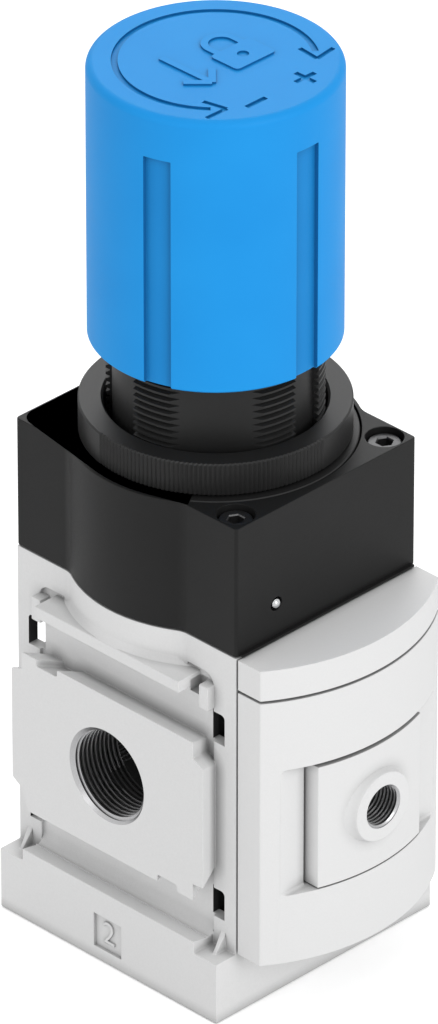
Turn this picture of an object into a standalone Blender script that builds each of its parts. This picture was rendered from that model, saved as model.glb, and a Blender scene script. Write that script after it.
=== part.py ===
"""Precision pressure regulator with a push-to-lock hand knob.

The frame's origin is the centre of the foot's underside, on the axis of the knob. +Z is up.
The main ports face -X and +X, and the curved front cover and the gauge port face -Y.
The knob stands in its unlocked, pulled-up place.
"""

import math

import bmesh
import bpy

MM = 0.001

# Clearances
GAP = 0.3 * MM  # left between two pieces that touch
TINY = 0.5 * MM  # how far a cutter runs past the face that it opens

# Housing, overall
GRID_WIDTH = 62.0 * MM  # across the two port faces, along X
BODY_DEPTH = 62.0 * MM  # front face to rear face, along Y
HOUSING_HEIGHT = 83.8 * MM
COLUMN_WIDTH = 50.8 * MM  # between the walls beside the port panels
FOOT_HEIGHT = 14.1 * MM

# Housing, clamp channels and port panels
CHANNEL_INSET = 0.8 * MM  # channel floor, behind the column's wall
CHANNEL_HALF = 25.0 * MM
CHANNEL_TOP = 75.4 * MM
LIP_RISE = 2.7 * MM
LIP_FALL = 1.1 * MM
LIP_HALF = 24.6 * MM
PANEL_HALF = 27.3 * MM
PANEL_SHOULDER = 24.4 * MM
PANEL_UP = 18.8 * MM  # from the port's axis to the panel's top edge
PANEL_DOWN = 18.7 * MM
PANEL_TAPER_Y = 0.0137 / MM  # dovetail: share of the outline lost for each metre behind the port face
PANEL_TAPER_Z = 0.0215 / MM
NOTCH_DEPTH = 1.6 * MM
BAR_BOTTOM = 73.7 * MM
BAR_HEIGHT = 2.7 * MM
BAR_HALF = 20.4 * MM
TAB_REACH = 2.0 * MM
TAB_INNER = 22.5 * MM
TAB_WIDTH = 2.0 * MM
TAB_BOTTOM = 69.8 * MM
TAB_HEIGHT = 5.2 * MM
BULGE_RADIUS = 30.0 * MM
BULGE_FOOT = 76.0 * MM
POCKET_INNER_X = 17.5 * MM
POCKET_POST = 2.5 * MM  # thickness of the corner post outside a clamp pocket
POCKET_INNER_Y = 23.8 * MM
POCKET_WIDTH = 4.0 * MM
UPPER_POCKET = (62.0 * MM, 69.0 * MM)
UPPER_POCKET_DEEP = 57.5 * MM
LOWER_POCKET = (20.7 * MM, 27.4 * MM)
LOWER_POCKET_DEEP = 16.0 * MM
GUSSET_Y = 27.2 * MM
GUSSET_THICKNESS = 1.0 * MM
GUSSET_REACH = 3.8 * MM
GUSSET_RISE = 4.5 * MM
NUMBER_SIDE = 7.9 * MM
NUMBER_BOTTOM = 3.0 * MM
NUMBER_DEPTH = 0.5 * MM

# Main ports and the gauge port
PORT_Z = 45.2 * MM
PORT_RADIUS = 9.4 * MM
PORT_MOUTH = 1.2 * MM
PORT_DEPTH = 15.0 * MM
PORT_WALL = 2.4 * MM
DUCT_INNER = 12.5 * MM
DUCT_HALF = 7.5 * MM
GAUGE_RADIUS = 4.3 * MM
GAUGE_DEPTH = 9.0 * MM
GAUGE_PASSAGE = 2.0 * MM

# Valve
PLUG_HEIGHT = 8.7 * MM
PLUG_RADIUS = 16.7 * MM
PLUG_GUIDE_RADIUS = 9.0 * MM
PLUG_GUIDE_TOP = 17.0 * MM
PLUG_GUIDE_FLOOR = 6.0 * MM
SPANNER_HOLE_RADIUS = 1.5 * MM
SPANNER_HOLE_AT = 10.0 * MM
LOWER_CHAMBER_RADIUS = 15.0 * MM
VALVE_STROKE = 2.0 * MM
SEAT_BORE_RADIUS = 6.5 * MM
SEAT_RADIUS = 9.7 * MM
SEAT_HEIGHT = 5.0 * MM
SEAT_LIP = 1.6 * MM
DISC_RADIUS = 8.6 * MM
DISC_THICKNESS = 2.3 * MM
HEAD_RADIUS = 9.0 * MM
HEAD_HEIGHT = 2.0 * MM
FLANGE_RADIUS = 11.8 * MM
FLANGE_HEIGHT = 3.0 * MM
SKIRT_RADIUS = 6.0 * MM
SPIGOT_RADIUS = 2.7 * MM
STEM_RADIUS = 1.5 * MM
VALVE_WIRE = 0.6 * MM
VALVE_COIL_RADIUS = 10.4 * MM
VALVE_COILS = 6
RING_SECTION = 0.85 * MM

# Chambers, diaphragm and plates
UPPER_CHAMBER_RADIUS = 21.0 * MM
BAFFLE_SEAT_RADIUS = 18.5 * MM
BAFFLE_SEAT_RISE = 7.0 * MM
BAFFLE_THICKNESS = 1.5 * MM
DIAPHRAGM_RECESS_RADIUS = 24.4 * MM
DIAPHRAGM_THICKNESS = 0.9 * MM
DIAPHRAGM_LOOP = 2.0 * MM
PLATE_RADIUS = 15.5 * MM
LOWER_PLATE_THICKNESS = 1.7 * MM
SPRING_PLATE_THICKNESS = 2.9 * MM
SPRING_PLATE_BOSS = 3.0 * MM
RELIEF_HUB_RADIUS = 3.0 * MM
RELIEF_FLANGE_RADIUS = 5.5 * MM
RELIEF_FLANGE_HEIGHT = 1.7 * MM
RELIEF_HOLE_RADIUS = 1.0 * MM

# Black spring housing
BLOCK_HEIGHT = 29.5 * MM
BLOCK_CORNER = 0.6 * MM
BLOCK_LIP_REACH = 0.8 * MM
BLOCK_LIP_HEIGHT = 0.5 * MM
BLOCK_CHAMBER_RADIUS = 21.3 * MM
BLOCK_LEDGE = 8.9 * MM
SCREW_FROM_SIDE = 4.4 * MM
SCREW_FROM_END = 4.5 * MM
SCREW_SHANK_RADIUS = 2.0 * MM
SCREW_HEAD_RADIUS = 3.45 * MM
SCREW_HEAD_HEIGHT = 3.7 * MM
SCREW_SINK = 1.1 * MM
SCREW_LENGTH = 35.5 * MM
SCREW_HEX = 3.0 * MM
SCREW_HEX_DEPTH = 2.0 * MM
COUNTERBORE_RADIUS = 3.9 * MM
VENT_X = -14.06 * MM
VENT_RISE = 7.7 * MM
VENT_RADIUS = 1.5 * MM
VENT_DEPTH = 2.1 * MM
VENT_BORE = 0.7 * MM

# Bonnet, ring nut and lock ring
SLEEVE_RADIUS = 22.0 * MM
SLEEVE_HEIGHT = 22.0 * MM
SLEEVE_WALL = 2.8 * MM
BONNET_FLANGE = 6.8 * MM
BONNET_FLANGE_HEIGHT = 3.9 * MM
BONNET_WEB = 3.7 * MM
SKIRT_WALL = 3.5 * MM
SLOT_DEPTH = 1.4 * MM
SLOT_NARROW = (271.0, 293.0)  # degrees about Z, counted from +X
SLOT_WIDE = (139.0, 177.0)
FLAT_ANGLE = 225.0
FLAT_HALF_WIDTH = 7.3 * MM
KEY_HALF = 2.5 * MM
KEY_HEIGHT = 1.6 * MM
SNAP_THICKNESS = 1.4 * MM
SNAP_DEPTH = 0.9 * MM
SNAP_RISE = 8.0 * MM
SNAP_OPENING = 30.0
PANEL_NUT_HEIGHT = 7.2 * MM
PANEL_NUT_WALL = 5.05 * MM
THREAD_CLEARANCE = 0.4 * MM
KNURL_TEETH = 45
KNURL_DEPTH = 0.3 * MM
KNURL_SECTORS = ((168.0, 277.0), (-12.0, 97.0))
LOCK_TEETH = 16
LOCK_SETBACK = 3.6 * MM  # from the sleeve's thread in to the root of the teeth
LOCK_WALL = 3.4 * MM
LOCK_TOOTH = 1.0 * MM
LOCK_HEIGHT = 3.0 * MM

# Spindle, nut and spring
SPINDLE_RADIUS = 5.0 * MM
COLLAR_RADIUS = 8.0 * MM
COLLAR_HEIGHT = 2.5 * MM
WASHER_RADIUS = 9.0 * MM
WASHER_THICKNESS = 1.0 * MM
SPINDLE_BELOW = 19.7 * MM
SPINDLE_NECK = 0.7 * MM
SPINDLE_HEX = 9.0 * MM
SPINDLE_HEX_LENGTH = 27.0 * MM
CIRCLIP_DEPTH = 1.0 * MM
CIRCLIP_REACH = 2.5 * MM
CIRCLIP_THICKNESS = 1.1 * MM
CIRCLIP_OPENING = 70.0
NUT_FLANGE_HEIGHT = 2.5 * MM
NUT_HUB_RADIUS = 9.0 * MM
NUT_HUB_HEIGHT = 5.7 * MM
NUT_BOSS_HEIGHT = 2.5 * MM
SPRING_WIRE = 1.8 * MM
SPRING_COIL_RADIUS = 12.1 * MM
SPRING_COILS = 6

# Knob
KNOB_CLEARANCE = 1.2 * MM  # between the sleeve's thread and the knob's bore
KNOB_WALL = 2.35 * MM
KNOB_LENGTH = 60.8 * MM
KNOB_TOP_WALL = 2.6 * MM
KNOB_EDGE = 1.7 * MM
KNOB_LIFT = 0.7 * MM  # knob's rim above the sleeve's top when unlocked
KNOB_GROOVES = 5
GROOVE_WIDTH = 5.9 * MM
GROOVE_DEPTH = 1.0 * MM
GROOVE_FROM_TOP = 9.7 * MM
HUB_WALL = 3.3 * MM
HUB_RISE = 7.5 * MM  # hub's end above the sleeve's top
CROWN_RISE = 5.3 * MM
CROWN_HEIGHT = 5.0 * MM
LOCK_CLEARANCE = 0.4 * MM
MARK_DEPTH = 0.4 * MM
MARK_FROM_EDGE = 5.95 * MM
MARK_WIDTH = 1.35 * MM
MARK_FROM = -44.0
MARK_TO = 231.0
SIGN_FROM_CIRCLE = 0.7 * MM
SIGN_LENGTH = 5.4 * MM
MINUS_ANGLE = 249.5
PLUS_ANGLE = 292.4
ARROW_ARM = 3.8 * MM
ARROW_CLEAR = 3.1 * MM  # from an arrow's tip back to the end of the circle

# Front covers and gauge adapter
COVER_ARC_RADIUS = 43.65 * MM
COVER_ARC_BACK = 28.8 * MM  # arc's centre behind the housing's front face
COVER_WALL = 2.2 * MM
COVER_JOINT = 0.4 * MM
CAP_HEIGHT = 7.1 * MM
WINDOW_HALF = 21.9 * MM
WINDOW_UP = 14.8 * MM
WINDOW_DOWN = 14.8 * MM
RELIEF_DEPTH = 9.0 * MM  # from the housing's front face out to the window's flat floor
RELIEF_FLOOR = 2.0 * MM
ADAPTER_HALF = 14.6 * MM
ADAPTER_UP = 14.1 * MM
ADAPTER_DOWN = 14.5 * MM
ADAPTER_SIDE_GAP = 0.6 * MM
BOSS_RADIUS = 7.6 * MM
BOSS_RISE = 1.45 * MM
PEG_RADIUS = 1.6 * MM
PEG_LENGTH = 3.4 * MM
POST_RADIUS = 3.0 * MM
ADAPTER_PEG_X = 10.5 * MM
ADAPTER_PEG_Z = 10.3 * MM
CAP_PEG_X = 12.0 * MM
LOWER_POST_Z = 22.0 * MM
UPPER_POST_Z = 69.0 * MM
SEAL_RADIUS = 5.8 * MM

# Sides of the round pieces
ROUND = 32
SMALL_ROUND = 16
WIRE_SIDES = 6
SLEEVE_SIDES = 48
KNOB_SIDES = 60

# Levels that follow from the sizes above
PORT_FACE = GRID_WIDTH / 2
BODY_FRONT = -BODY_DEPTH / 2
BODY_REAR = BODY_DEPTH / 2
WALL_X = COLUMN_WIDTH / 2
LOWER_TOP = PORT_Z - PORT_RADIUS
CHAMBER_FLOOR = PORT_Z + PORT_RADIUS + PORT_WALL
BAFFLE_SEAT = CHAMBER_FLOOR + BAFFLE_SEAT_RISE
BLOCK_BOTTOM = HOUSING_HEIGHT + GAP
BLOCK_TOP = BLOCK_BOTTOM + BLOCK_HEIGHT
DIAPHRAGM_TOP = BLOCK_BOTTOM - GAP
DIAPHRAGM_BOTTOM = DIAPHRAGM_TOP - DIAPHRAGM_THICKNESS
RECESS_FLOOR = DIAPHRAGM_BOTTOM - GAP
LOWER_PLATE_TOP = DIAPHRAGM_BOTTOM - GAP
LOWER_PLATE_BOTTOM = LOWER_PLATE_TOP - LOWER_PLATE_THICKNESS
RELIEF_TOP = LOWER_PLATE_BOTTOM - GAP
RELIEF_BOTTOM = RELIEF_TOP - RELIEF_FLANGE_HEIGHT
STEM_TOP = RELIEF_BOTTOM - GAP
SPRING_PLATE_BOTTOM = DIAPHRAGM_TOP + GAP
SPRING_SEAT = SPRING_PLATE_BOTTOM + SPRING_PLATE_THICKNESS
SPRING_BOSS_RADIUS = SPRING_COIL_RADIUS - SPRING_WIRE - 2 * GAP
SEAT_TOP = LOWER_TOP + SEAT_HEIGHT
SEAT_LIP_Z = LOWER_TOP - SEAT_LIP
DISC_TOP = SEAT_LIP_Z - GAP
DISC_BOTTOM = DISC_TOP - DISC_THICKNESS
HEAD_TOP = DISC_BOTTOM - GAP
FLANGE_TOP = HEAD_TOP - HEAD_HEIGHT
FLANGE_BOTTOM = FLANGE_TOP - FLANGE_HEIGHT
SKIRT_BOTTOM = PLUG_GUIDE_FLOOR + VALVE_STROKE + 1.0 * MM
BONNET_TOP = BLOCK_TOP + SLEEVE_HEIGHT
WEB_BOTTOM = BONNET_TOP - BONNET_WEB
BONNET_LEDGE = BLOCK_BOTTOM + BLOCK_LEDGE
BONNET_INNER = SLEEVE_RADIUS - SLEEVE_WALL
BONNET_SKIRT = BONNET_INNER + SKIRT_WALL
FLANGE_BORE = SLEEVE_RADIUS + BONNET_FLANGE + GAP
FLANGE_SEAT = BLOCK_TOP - BONNET_FLANGE_HEIGHT - GAP - 0.1 * MM
SNAP_Z = BONNET_LEDGE + SNAP_RISE
WASHER_TOP = WEB_BOTTOM - GAP
COLLAR_TOP = WASHER_TOP - WASHER_THICKNESS - GAP
COLLAR_BOTTOM = COLLAR_TOP - COLLAR_HEIGHT
NUT_TOP = COLLAR_BOTTOM - GAP
NUT_BOTTOM = NUT_TOP - NUT_HUB_HEIGHT - NUT_FLANGE_HEIGHT
CIRCLIP_BOTTOM = BONNET_TOP + GAP
KNOB_BORE = SLEEVE_RADIUS + KNOB_CLEARANCE
KNOB_RADIUS = KNOB_BORE + KNOB_WALL
KNOB_RIM = BONNET_TOP + KNOB_LIFT
KNOB_TOP = KNOB_RIM + KNOB_LENGTH
KNOB_CEILING = KNOB_TOP - KNOB_TOP_WALL
MARK_RADIUS = KNOB_RADIUS - MARK_FROM_EDGE
LOCK_ROOT = SLEEVE_RADIUS - LOCK_SETBACK
LOCK_INNER = LOCK_ROOT - LOCK_WALL
SCREW_X = WALL_X - SCREW_FROM_SIDE
SCREW_Y = BODY_REAR - SCREW_FROM_END
SCREW_TOP = BLOCK_TOP - SCREW_SINK
SCREW_SEAT = SCREW_TOP - SCREW_HEAD_HEIGHT
SCREW_TIP = SCREW_SEAT - SCREW_LENGTH
COVER_BACK = BODY_FRONT - GAP
ARC_CENTRE_Y = BODY_FRONT + COVER_ARC_BACK
COVER_NOSE = ARC_CENTRE_Y - COVER_ARC_RADIUS
CAP_TOP = HOUSING_HEIGHT
CAP_BOTTOM = CAP_TOP - CAP_HEIGHT
COVER_TOP = CAP_BOTTOM - COVER_JOINT
COVER_BOTTOM = FOOT_HEIGHT + GAP
FLOOR_Y = BODY_FRONT - RELIEF_DEPTH
CAP_PEG_Z = (CAP_BOTTOM + CAP_TOP) / 2 - 0.8 * MM

COLOURS = {
    "light_grey_paint": (0.66, 0.66, 0.66, 0.45, 0.0),
    "light_grey_plastic": (0.78, 0.78, 0.78, 0.5, 0.0),
    "black_plastic": (0.035, 0.035, 0.035, 0.5, 0.0),
    "blue_plastic": (0.02, 0.33, 0.8, 0.45, 0.0),
    "steel": (0.5, 0.5, 0.5, 0.35, 1.0),
    "spring_steel": (0.3, 0.3, 0.32, 0.35, 1.0),
    "brass": (0.75, 0.55, 0.2, 0.3, 1.0),
    "aluminium": (0.8, 0.8, 0.82, 0.35, 1.0),
    "rubber": (0.02, 0.02, 0.02, 0.8, 0.0),
}


def material_for(name, finish):
    """A Principled material of the piece's own, with the finish's colour, roughness and metallic value."""
    red, green, blue, roughness, metallic = COLOURS[finish]
    material = bpy.data.materials.new(name + "_" + finish)
    material.use_nodes = True
    shader = material.node_tree.nodes["Principled BSDF"]
    shader.inputs["Base Color"].default_value = (red, green, blue, 1.0)
    shader.inputs["Roughness"].default_value = roughness
    shader.inputs["Metallic"].default_value = metallic
    material.diffuse_color = (red, green, blue, 1.0)
    return material


def place_mesh(name, bm, finish=None):
    """Turn a closed bmesh into an object. Without a finish it is a helper that the model leaves out."""
    bmesh.ops.recalc_face_normals(bm, faces=bm.faces)
    mesh = bpy.data.meshes.new(name)
    bm.to_mesh(mesh)
    bm.free()
    mesh.shade_smooth()
    mesh.set_sharp_from_angle(angle=math.radians(32))
    obj = bpy.data.objects.new(name, mesh)
    bpy.context.scene.collection.objects.link(obj)
    if finish:
        mesh.materials.append(material_for(name, finish))
    else:
        obj.hide_render = True
        obj.display_type = "WIRE"
    return obj


def point(axis, across, up, along):
    """The 3-D point of an outline's point (across, up), at a distance along the prism's axis."""
    if axis == "X":
        return (along, across, up)
    if axis == "Y":
        return (across, along, up)
    return (across, up, along)


def add_loft(bm, axis, first, first_at, last, last_at):
    """A closed body between two outlines with the same number of points."""
    ring_a = [bm.verts.new(point(axis, a, b, first_at)) for a, b in first]
    ring_b = [bm.verts.new(point(axis, a, b, last_at)) for a, b in last]
    count = len(first)
    bm.faces.new(ring_a)
    bm.faces.new(list(reversed(ring_b)))
    for i in range(count):
        j = (i + 1) % count
        bm.faces.new((ring_a[i], ring_b[i], ring_b[j], ring_a[j]))


def add_prism(bm, axis, outline, low, high):
    add_loft(bm, axis, outline, low, outline, high)


def add_box(bm, x, y, z):
    """A box between the pairs of limits x, y and z."""
    outline = [(x[0], y[0]), (x[1], y[0]), (x[1], y[1]), (x[0], y[1])]
    add_prism(bm, "Z", outline, z[0], z[1])


def add_ring(bm, outer, inner, low, high):
    """A prism along Z with a hole: both outlines have the same number of points."""
    count = len(outer)
    rows = []
    for outline, level in ((outer, low), (outer, high), (inner, high), (inner, low)):
        rows.append([bm.verts.new((a, b, level)) for a, b in outline])
    for k in range(4):
        near, far = rows[k], rows[(k + 1) % 4]
        for i in range(count):
            j = (i + 1) % count
            bm.faces.new((near[i], near[j], far[j], far[i]))


def add_turned(bm, profile, axis="Z", centre=(0.0, 0.0), sides=ROUND):
    """Turn a closed profile of (radius, along) points about a line along the axis through the centre.
    Where the profile lies on the line, the end is closed by one flat face."""
    rows = []
    for radius, along in profile:
        row = []
        for i in range(sides):
            if radius < 1e-9:
                break
            turn = math.tau * i / sides
            across = centre[0] + radius * math.cos(turn)
            up = centre[1] + radius * math.sin(turn)
            row.append(bm.verts.new(point(axis, across, up, along)))
        rows.append(row)
    for k, near in enumerate(rows):
        far = rows[(k + 1) % len(rows)]
        if near and far:
            for i in range(sides):
                j = (i + 1) % sides
                bm.faces.new((near[i], near[j], far[j], far[i]))
        elif near or far:
            bm.faces.new(near or far)


def turned(name, profile, finish=None, axis="Z", centre=(0.0, 0.0), sides=ROUND):
    bm = bmesh.new()
    add_turned(bm, profile, axis, centre, sides)
    return place_mesh(name, bm, finish)


def combine(target, helper, operation):
    modifier = target.modifiers.new(helper.name, "BOOLEAN")
    modifier.operation = operation
    modifier.solver = "EXACT"
    modifier.object = helper


def cut(target, helper):
    combine(target, helper, "DIFFERENCE")


def join(target, helper):
    combine(target, helper, "UNION")


def arc(radius, start, stop, steps, centre=(0.0, 0.0)):
    """Points on an arc, from start to stop in degrees, both ends included."""
    points = []
    for i in range(steps + 1):
        turn = math.radians(start + (stop - start) * i / steps)
        points.append((centre[0] + radius * math.cos(turn), centre[1] + radius * math.sin(turn)))
    return points


def open_ring(name, inner, outer, low, high, opening, middle, finish):
    """A flat spring ring with a gap, centred on the angle middle."""
    start = middle + opening / 2
    stop = middle + 360.0 - opening / 2
    outline = arc(outer, start, stop, 30) + arc(inner, stop, start, 30)
    bm = bmesh.new()
    add_prism(bm, "Z", outline, low, high)
    return place_mesh(name, bm, finish)


def coil(name, coil_radius, wire_radius, bottom, top, turns, steps, finish):
    """A coil spring with closed end turns: the pitch is small over the first and the last turn."""
    low = bottom + wire_radius
    high = top - wire_radius
    end_rise = 2.15 * wire_radius
    middle_rise = high - low - 2 * end_rise
    count = turns * steps
    bm = bmesh.new()
    rows = []
    for i in range(count + 1):
        turn = i / steps
        if turn < 1.0:
            height = low + end_rise * turn
        elif turn > turns - 1.0:
            height = high - end_rise * (turns - turn)
        else:
            height = low + end_rise + middle_rise * (turn - 1.0) / (turns - 2.0)
        angle = math.tau * turn
        row = []
        for k in range(WIRE_SIDES):
            around = math.tau * (k + 0.5) / WIRE_SIDES
            radius = coil_radius + wire_radius * math.cos(around)
            row.append(
                bm.verts.new(
                    (radius * math.cos(angle), radius * math.sin(angle), height + wire_radius * math.sin(around))
                )
            )
        rows.append(row)
    for near, far in zip(rows, rows[1:]):
        for k in range(WIRE_SIDES):
            m = (k + 1) % WIRE_SIDES
            bm.faces.new((near[k], near[m], far[m], far[k]))
    bm.faces.new(rows[0])
    bm.faces.new(list(reversed(rows[-1])))
    return place_mesh(name, bm, finish)


def seal_ring(name, radius, section, along, finish="rubber", axis="Z", centre=(0.0, 0.0)):
    """An O-ring: a round section turned about the axis."""
    profile = [(radius + a, along + b) for a, b in arc(section, 0.0, 300.0, 5)]
    return turned(name, profile, finish, axis, centre)


def panel_outline(behind):
    """The port panel's outline in Y and Z, at a distance behind the port face: it tapers like a dovetail."""
    up, down = PANEL_UP, -PANEL_DOWN
    shape = [
        (PANEL_SHOULDER, up),
        (20.3 * MM, up),
        (20.0 * MM, up - NOTCH_DEPTH),
        (14.3 * MM, up - NOTCH_DEPTH),
        (14.1 * MM, up),
        (-PANEL_SHOULDER, up),
        (-PANEL_SHOULDER, up - 3.7 * MM),
        (-PANEL_HALF, up - 5.3 * MM),
        (-PANEL_HALF, down + 4.1 * MM),
        (-PANEL_SHOULDER, down + 3.9 * MM),
        (-PANEL_SHOULDER, down),
        (-19.8 * MM, down),
        (-19.8 * MM, down + NOTCH_DEPTH),
        (-14.4 * MM, down + NOTCH_DEPTH),
        (-14.4 * MM, down),
        (22.9 * MM, down),
        (25.3 * MM, down + 5.3 * MM),
        (PANEL_HALF, down + 6.5 * MM),
        (PANEL_HALF, up - 5.0 * MM),
        (PANEL_SHOULDER, up - 4.0 * MM),
    ]
    across = 1.0 - PANEL_TAPER_Y * behind
    upward = 1.0 - PANEL_TAPER_Z * behind
    return [(y * across, PORT_Z + z * upward) for y, z in shape]


def housing():
    """Die-cast housing: foot, column, port panels, clamp channels, chambers, ports and screw holes."""
    lip = FOOT_HEIGHT + LIP_RISE
    half = [
        (PORT_FACE, 0.0),
        (PORT_FACE, lip),
        (WALL_X, lip - LIP_FALL),
        (WALL_X, HOUSING_HEIGHT + TINY),
    ]
    outline = half + [(-x, z) for x, z in reversed(half)]
    bm = bmesh.new()
    add_prism(bm, "Y", outline, BODY_FRONT, BODY_REAR)
    body = place_mesh("housing", bm, "light_grey_paint")

    bm = bmesh.new()
    floor = WALL_X - CHANNEL_INSET
    for side in (-1, 1):
        x = sorted((side * floor, side * (PORT_FACE + TINY)))
        add_box(bm, x, (-CHANNEL_HALF, CHANNEL_HALF), (lip + TINY, CHANNEL_TOP))
    cut(body, place_mesh("cut_channels", bm))

    bm = bmesh.new()
    for side in (-1, 1):
        for end in (-1, 1):
            x = sorted((side * WALL_X, side * (PORT_FACE + TINY)))
            y = sorted((end * LIP_HALF, end * (BODY_REAR + TINY)))
            add_box(bm, x, y, (FOOT_HEIGHT, lip + TINY))
    cut(body, place_mesh("cut_foot_corners", bm))

    bury = 2.4 * MM
    bm = bmesh.new()
    for side in (-1, 1):
        inner = WALL_X - bury
        add_loft(bm, "X", panel_outline(0.0), side * PORT_FACE, panel_outline(PORT_FACE - inner), side * inner)
    join(body, place_mesh("add_panels", bm))

    bm = bmesh.new()
    for side in (-1, 1):
        x = sorted((side * (WALL_X - bury), side * PORT_FACE))
        add_box(bm, x, (-BAR_HALF, BAR_HALF), (BAR_BOTTOM, BAR_BOTTOM + BAR_HEIGHT))
        for end in (-1, 1):
            x = sorted((side * (WALL_X - bury), side * (WALL_X + TAB_REACH)))
            y = sorted((end * TAB_INNER, end * (TAB_INNER + TAB_WIDTH)))
            add_box(bm, x, y, (TAB_BOTTOM, TAB_BOTTOM + TAB_HEIGHT))
            foot = FOOT_HEIGHT - TINY
            wall = WALL_X - TINY
            triangle = [(wall, FOOT_HEIGHT + GUSSET_RISE), (WALL_X + GUSSET_REACH, foot), (wall, foot)]
            low, high = sorted((end * GUSSET_Y, end * (GUSSET_Y + GUSSET_THICKNESS)))
            add_prism(bm, "Y", [(side * a, b) for a, b in triangle], low, high)
    join(body, place_mesh("add_bars_and_tabs", bm))

    bulge = [(0.0, BULGE_FOOT), (BULGE_RADIUS, BULGE_FOOT), (BULGE_RADIUS, HOUSING_HEIGHT + 2 * TINY)]
    join(body, turned("add_bulge", bulge + [(0.0, HOUSING_HEIGHT + 2 * TINY)]))

    bm = bmesh.new()
    above = 3 * TINY
    add_box(
        bm,
        (-PORT_FACE, PORT_FACE),
        (BODY_FRONT - TINY, BODY_REAR + TINY),
        (HOUSING_HEIGHT, HOUSING_HEIGHT + above),
    )
    cut(body, place_mesh("cut_flat_top", bm))

    plug_bore = PLUG_RADIUS + GAP
    seat_bore = SEAT_RADIUS + GAP
    throat = SEAT_BORE_RADIUS + 2.0 * MM
    profile = [
        (0.0, -TINY),
        (plug_bore, -TINY),
        (plug_bore, PLUG_HEIGHT + GAP),
        (LOWER_CHAMBER_RADIUS, PLUG_HEIGHT + GAP),
        (LOWER_CHAMBER_RADIUS, LOWER_TOP),
        (seat_bore, LOWER_TOP),
        (seat_bore, SEAT_TOP + GAP),
        (throat, SEAT_TOP + GAP),
        (throat, CHAMBER_FLOOR),
        (BAFFLE_SEAT_RADIUS, CHAMBER_FLOOR),
        (BAFFLE_SEAT_RADIUS, BAFFLE_SEAT),
        (UPPER_CHAMBER_RADIUS, BAFFLE_SEAT),
        (UPPER_CHAMBER_RADIUS, RECESS_FLOOR),
        (DIAPHRAGM_RECESS_RADIUS, RECESS_FLOOR),
        (DIAPHRAGM_RECESS_RADIUS, HOUSING_HEIGHT + TINY),
        (0.0, HOUSING_HEIGHT + TINY),
    ]
    cut(body, turned("cut_chambers", profile))

    bm = bmesh.new()
    mouth = PORT_RADIUS + PORT_MOUTH
    for side in (-1, 1):
        end = PORT_FACE - PORT_DEPTH
        profile = [
            (0.0, side * end),
            (PORT_RADIUS, side * end),
            (PORT_RADIUS, side * (PORT_FACE - PORT_MOUTH)),
            (mouth, side * PORT_FACE),
            (mouth, side * (PORT_FACE + TINY)),
            (0.0, side * (PORT_FACE + TINY)),
        ]
        add_turned(bm, profile, "X", (0.0, PORT_Z), 32)
    cut(body, place_mesh("cut_ports", bm))

    bm = bmesh.new()
    outer = PORT_FACE - PORT_DEPTH + 6.5 * MM
    add_box(bm, (DUCT_INNER, outer), (-DUCT_HALF, DUCT_HALF), (LOWER_TOP - 6.0 * MM, PORT_Z))
    add_box(bm, (-outer, -DUCT_INNER), (-DUCT_HALF, DUCT_HALF), (PORT_Z, CHAMBER_FLOOR + 3.0 * MM))
    cut(body, place_mesh("cut_ducts", bm))

    slots = bmesh.new()
    deep = bmesh.new()
    post = WALL_X - POCKET_POST
    for side in (-1, 1):
        for end in (-1, 1):
            y = sorted((end * POCKET_INNER_Y, end * (POCKET_INNER_Y + POCKET_WIDTH)))
            y_deep = sorted((end * POCKET_INNER_Y, end * (BODY_REAR + TINY)))
            x = sorted((side * (POCKET_INNER_X + TINY), side * (WALL_X + TINY)))
            x_deep = sorted((side * POCKET_INNER_X, side * post))
            for levels, bottom in ((UPPER_POCKET, UPPER_POCKET_DEEP), (LOWER_POCKET, LOWER_POCKET_DEEP)):
                add_box(slots, x, y, levels)
                add_box(deep, x_deep, y_deep, (bottom, levels[1] + 0.2 * MM))
    cut(body, place_mesh("cut_clamp_slots", slots))
    cut(body, place_mesh("cut_clamp_pockets", deep))

    bm = bmesh.new()
    radius = SCREW_SHANK_RADIUS + GAP
    for x in (-SCREW_X, SCREW_X):
        for y in (-SCREW_Y, SCREW_Y):
            profile = [(0.0, SCREW_TIP - GAP), (radius, SCREW_TIP - GAP)]
            profile += [(radius, HOUSING_HEIGHT + TINY), (0.0, HOUSING_HEIGHT + TINY)]
            add_turned(bm, profile, "Z", (x, y), SMALL_ROUND)
    cut(body, place_mesh("cut_screw_holes", bm))

    bm = bmesh.new()
    peg = PEG_RADIUS + GAP
    floor = BODY_FRONT + PEG_LENGTH
    holes = [(0.0, LOWER_POST_Z, peg, floor), (0.0, UPPER_POST_Z, peg, floor)]
    holes += [(x, CAP_PEG_Z, peg, floor) for x in (-CAP_PEG_X, CAP_PEG_X)]
    for x in (-ADAPTER_PEG_X, ADAPTER_PEG_X):
        holes += [(x, PORT_Z + z, peg, floor) for z in (-ADAPTER_PEG_Z, ADAPTER_PEG_Z)]
    holes.append((0.0, PORT_Z, GAUGE_PASSAGE, -throat + 1.0 * MM))
    for x, z, radius, end in holes:
        profile = [(0.0, BODY_FRONT - TINY), (radius, BODY_FRONT - TINY), (radius, end), (0.0, end)]
        add_turned(bm, profile, "Y", (x, z), SMALL_ROUND)
    cut(body, place_mesh("cut_front_holes", bm))

    bm = bmesh.new()
    side_half = NUMBER_SIDE / 2
    levels = (NUMBER_BOTTOM, NUMBER_BOTTOM + NUMBER_SIDE)
    for side in (-1, 1):
        x = sorted((side * (PORT_FACE - NUMBER_DEPTH), side * (PORT_FACE + TINY)))
        add_box(bm, x, (-side_half, side_half), levels)
    cut(body, place_mesh("cut_number_fields", bm))


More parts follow.
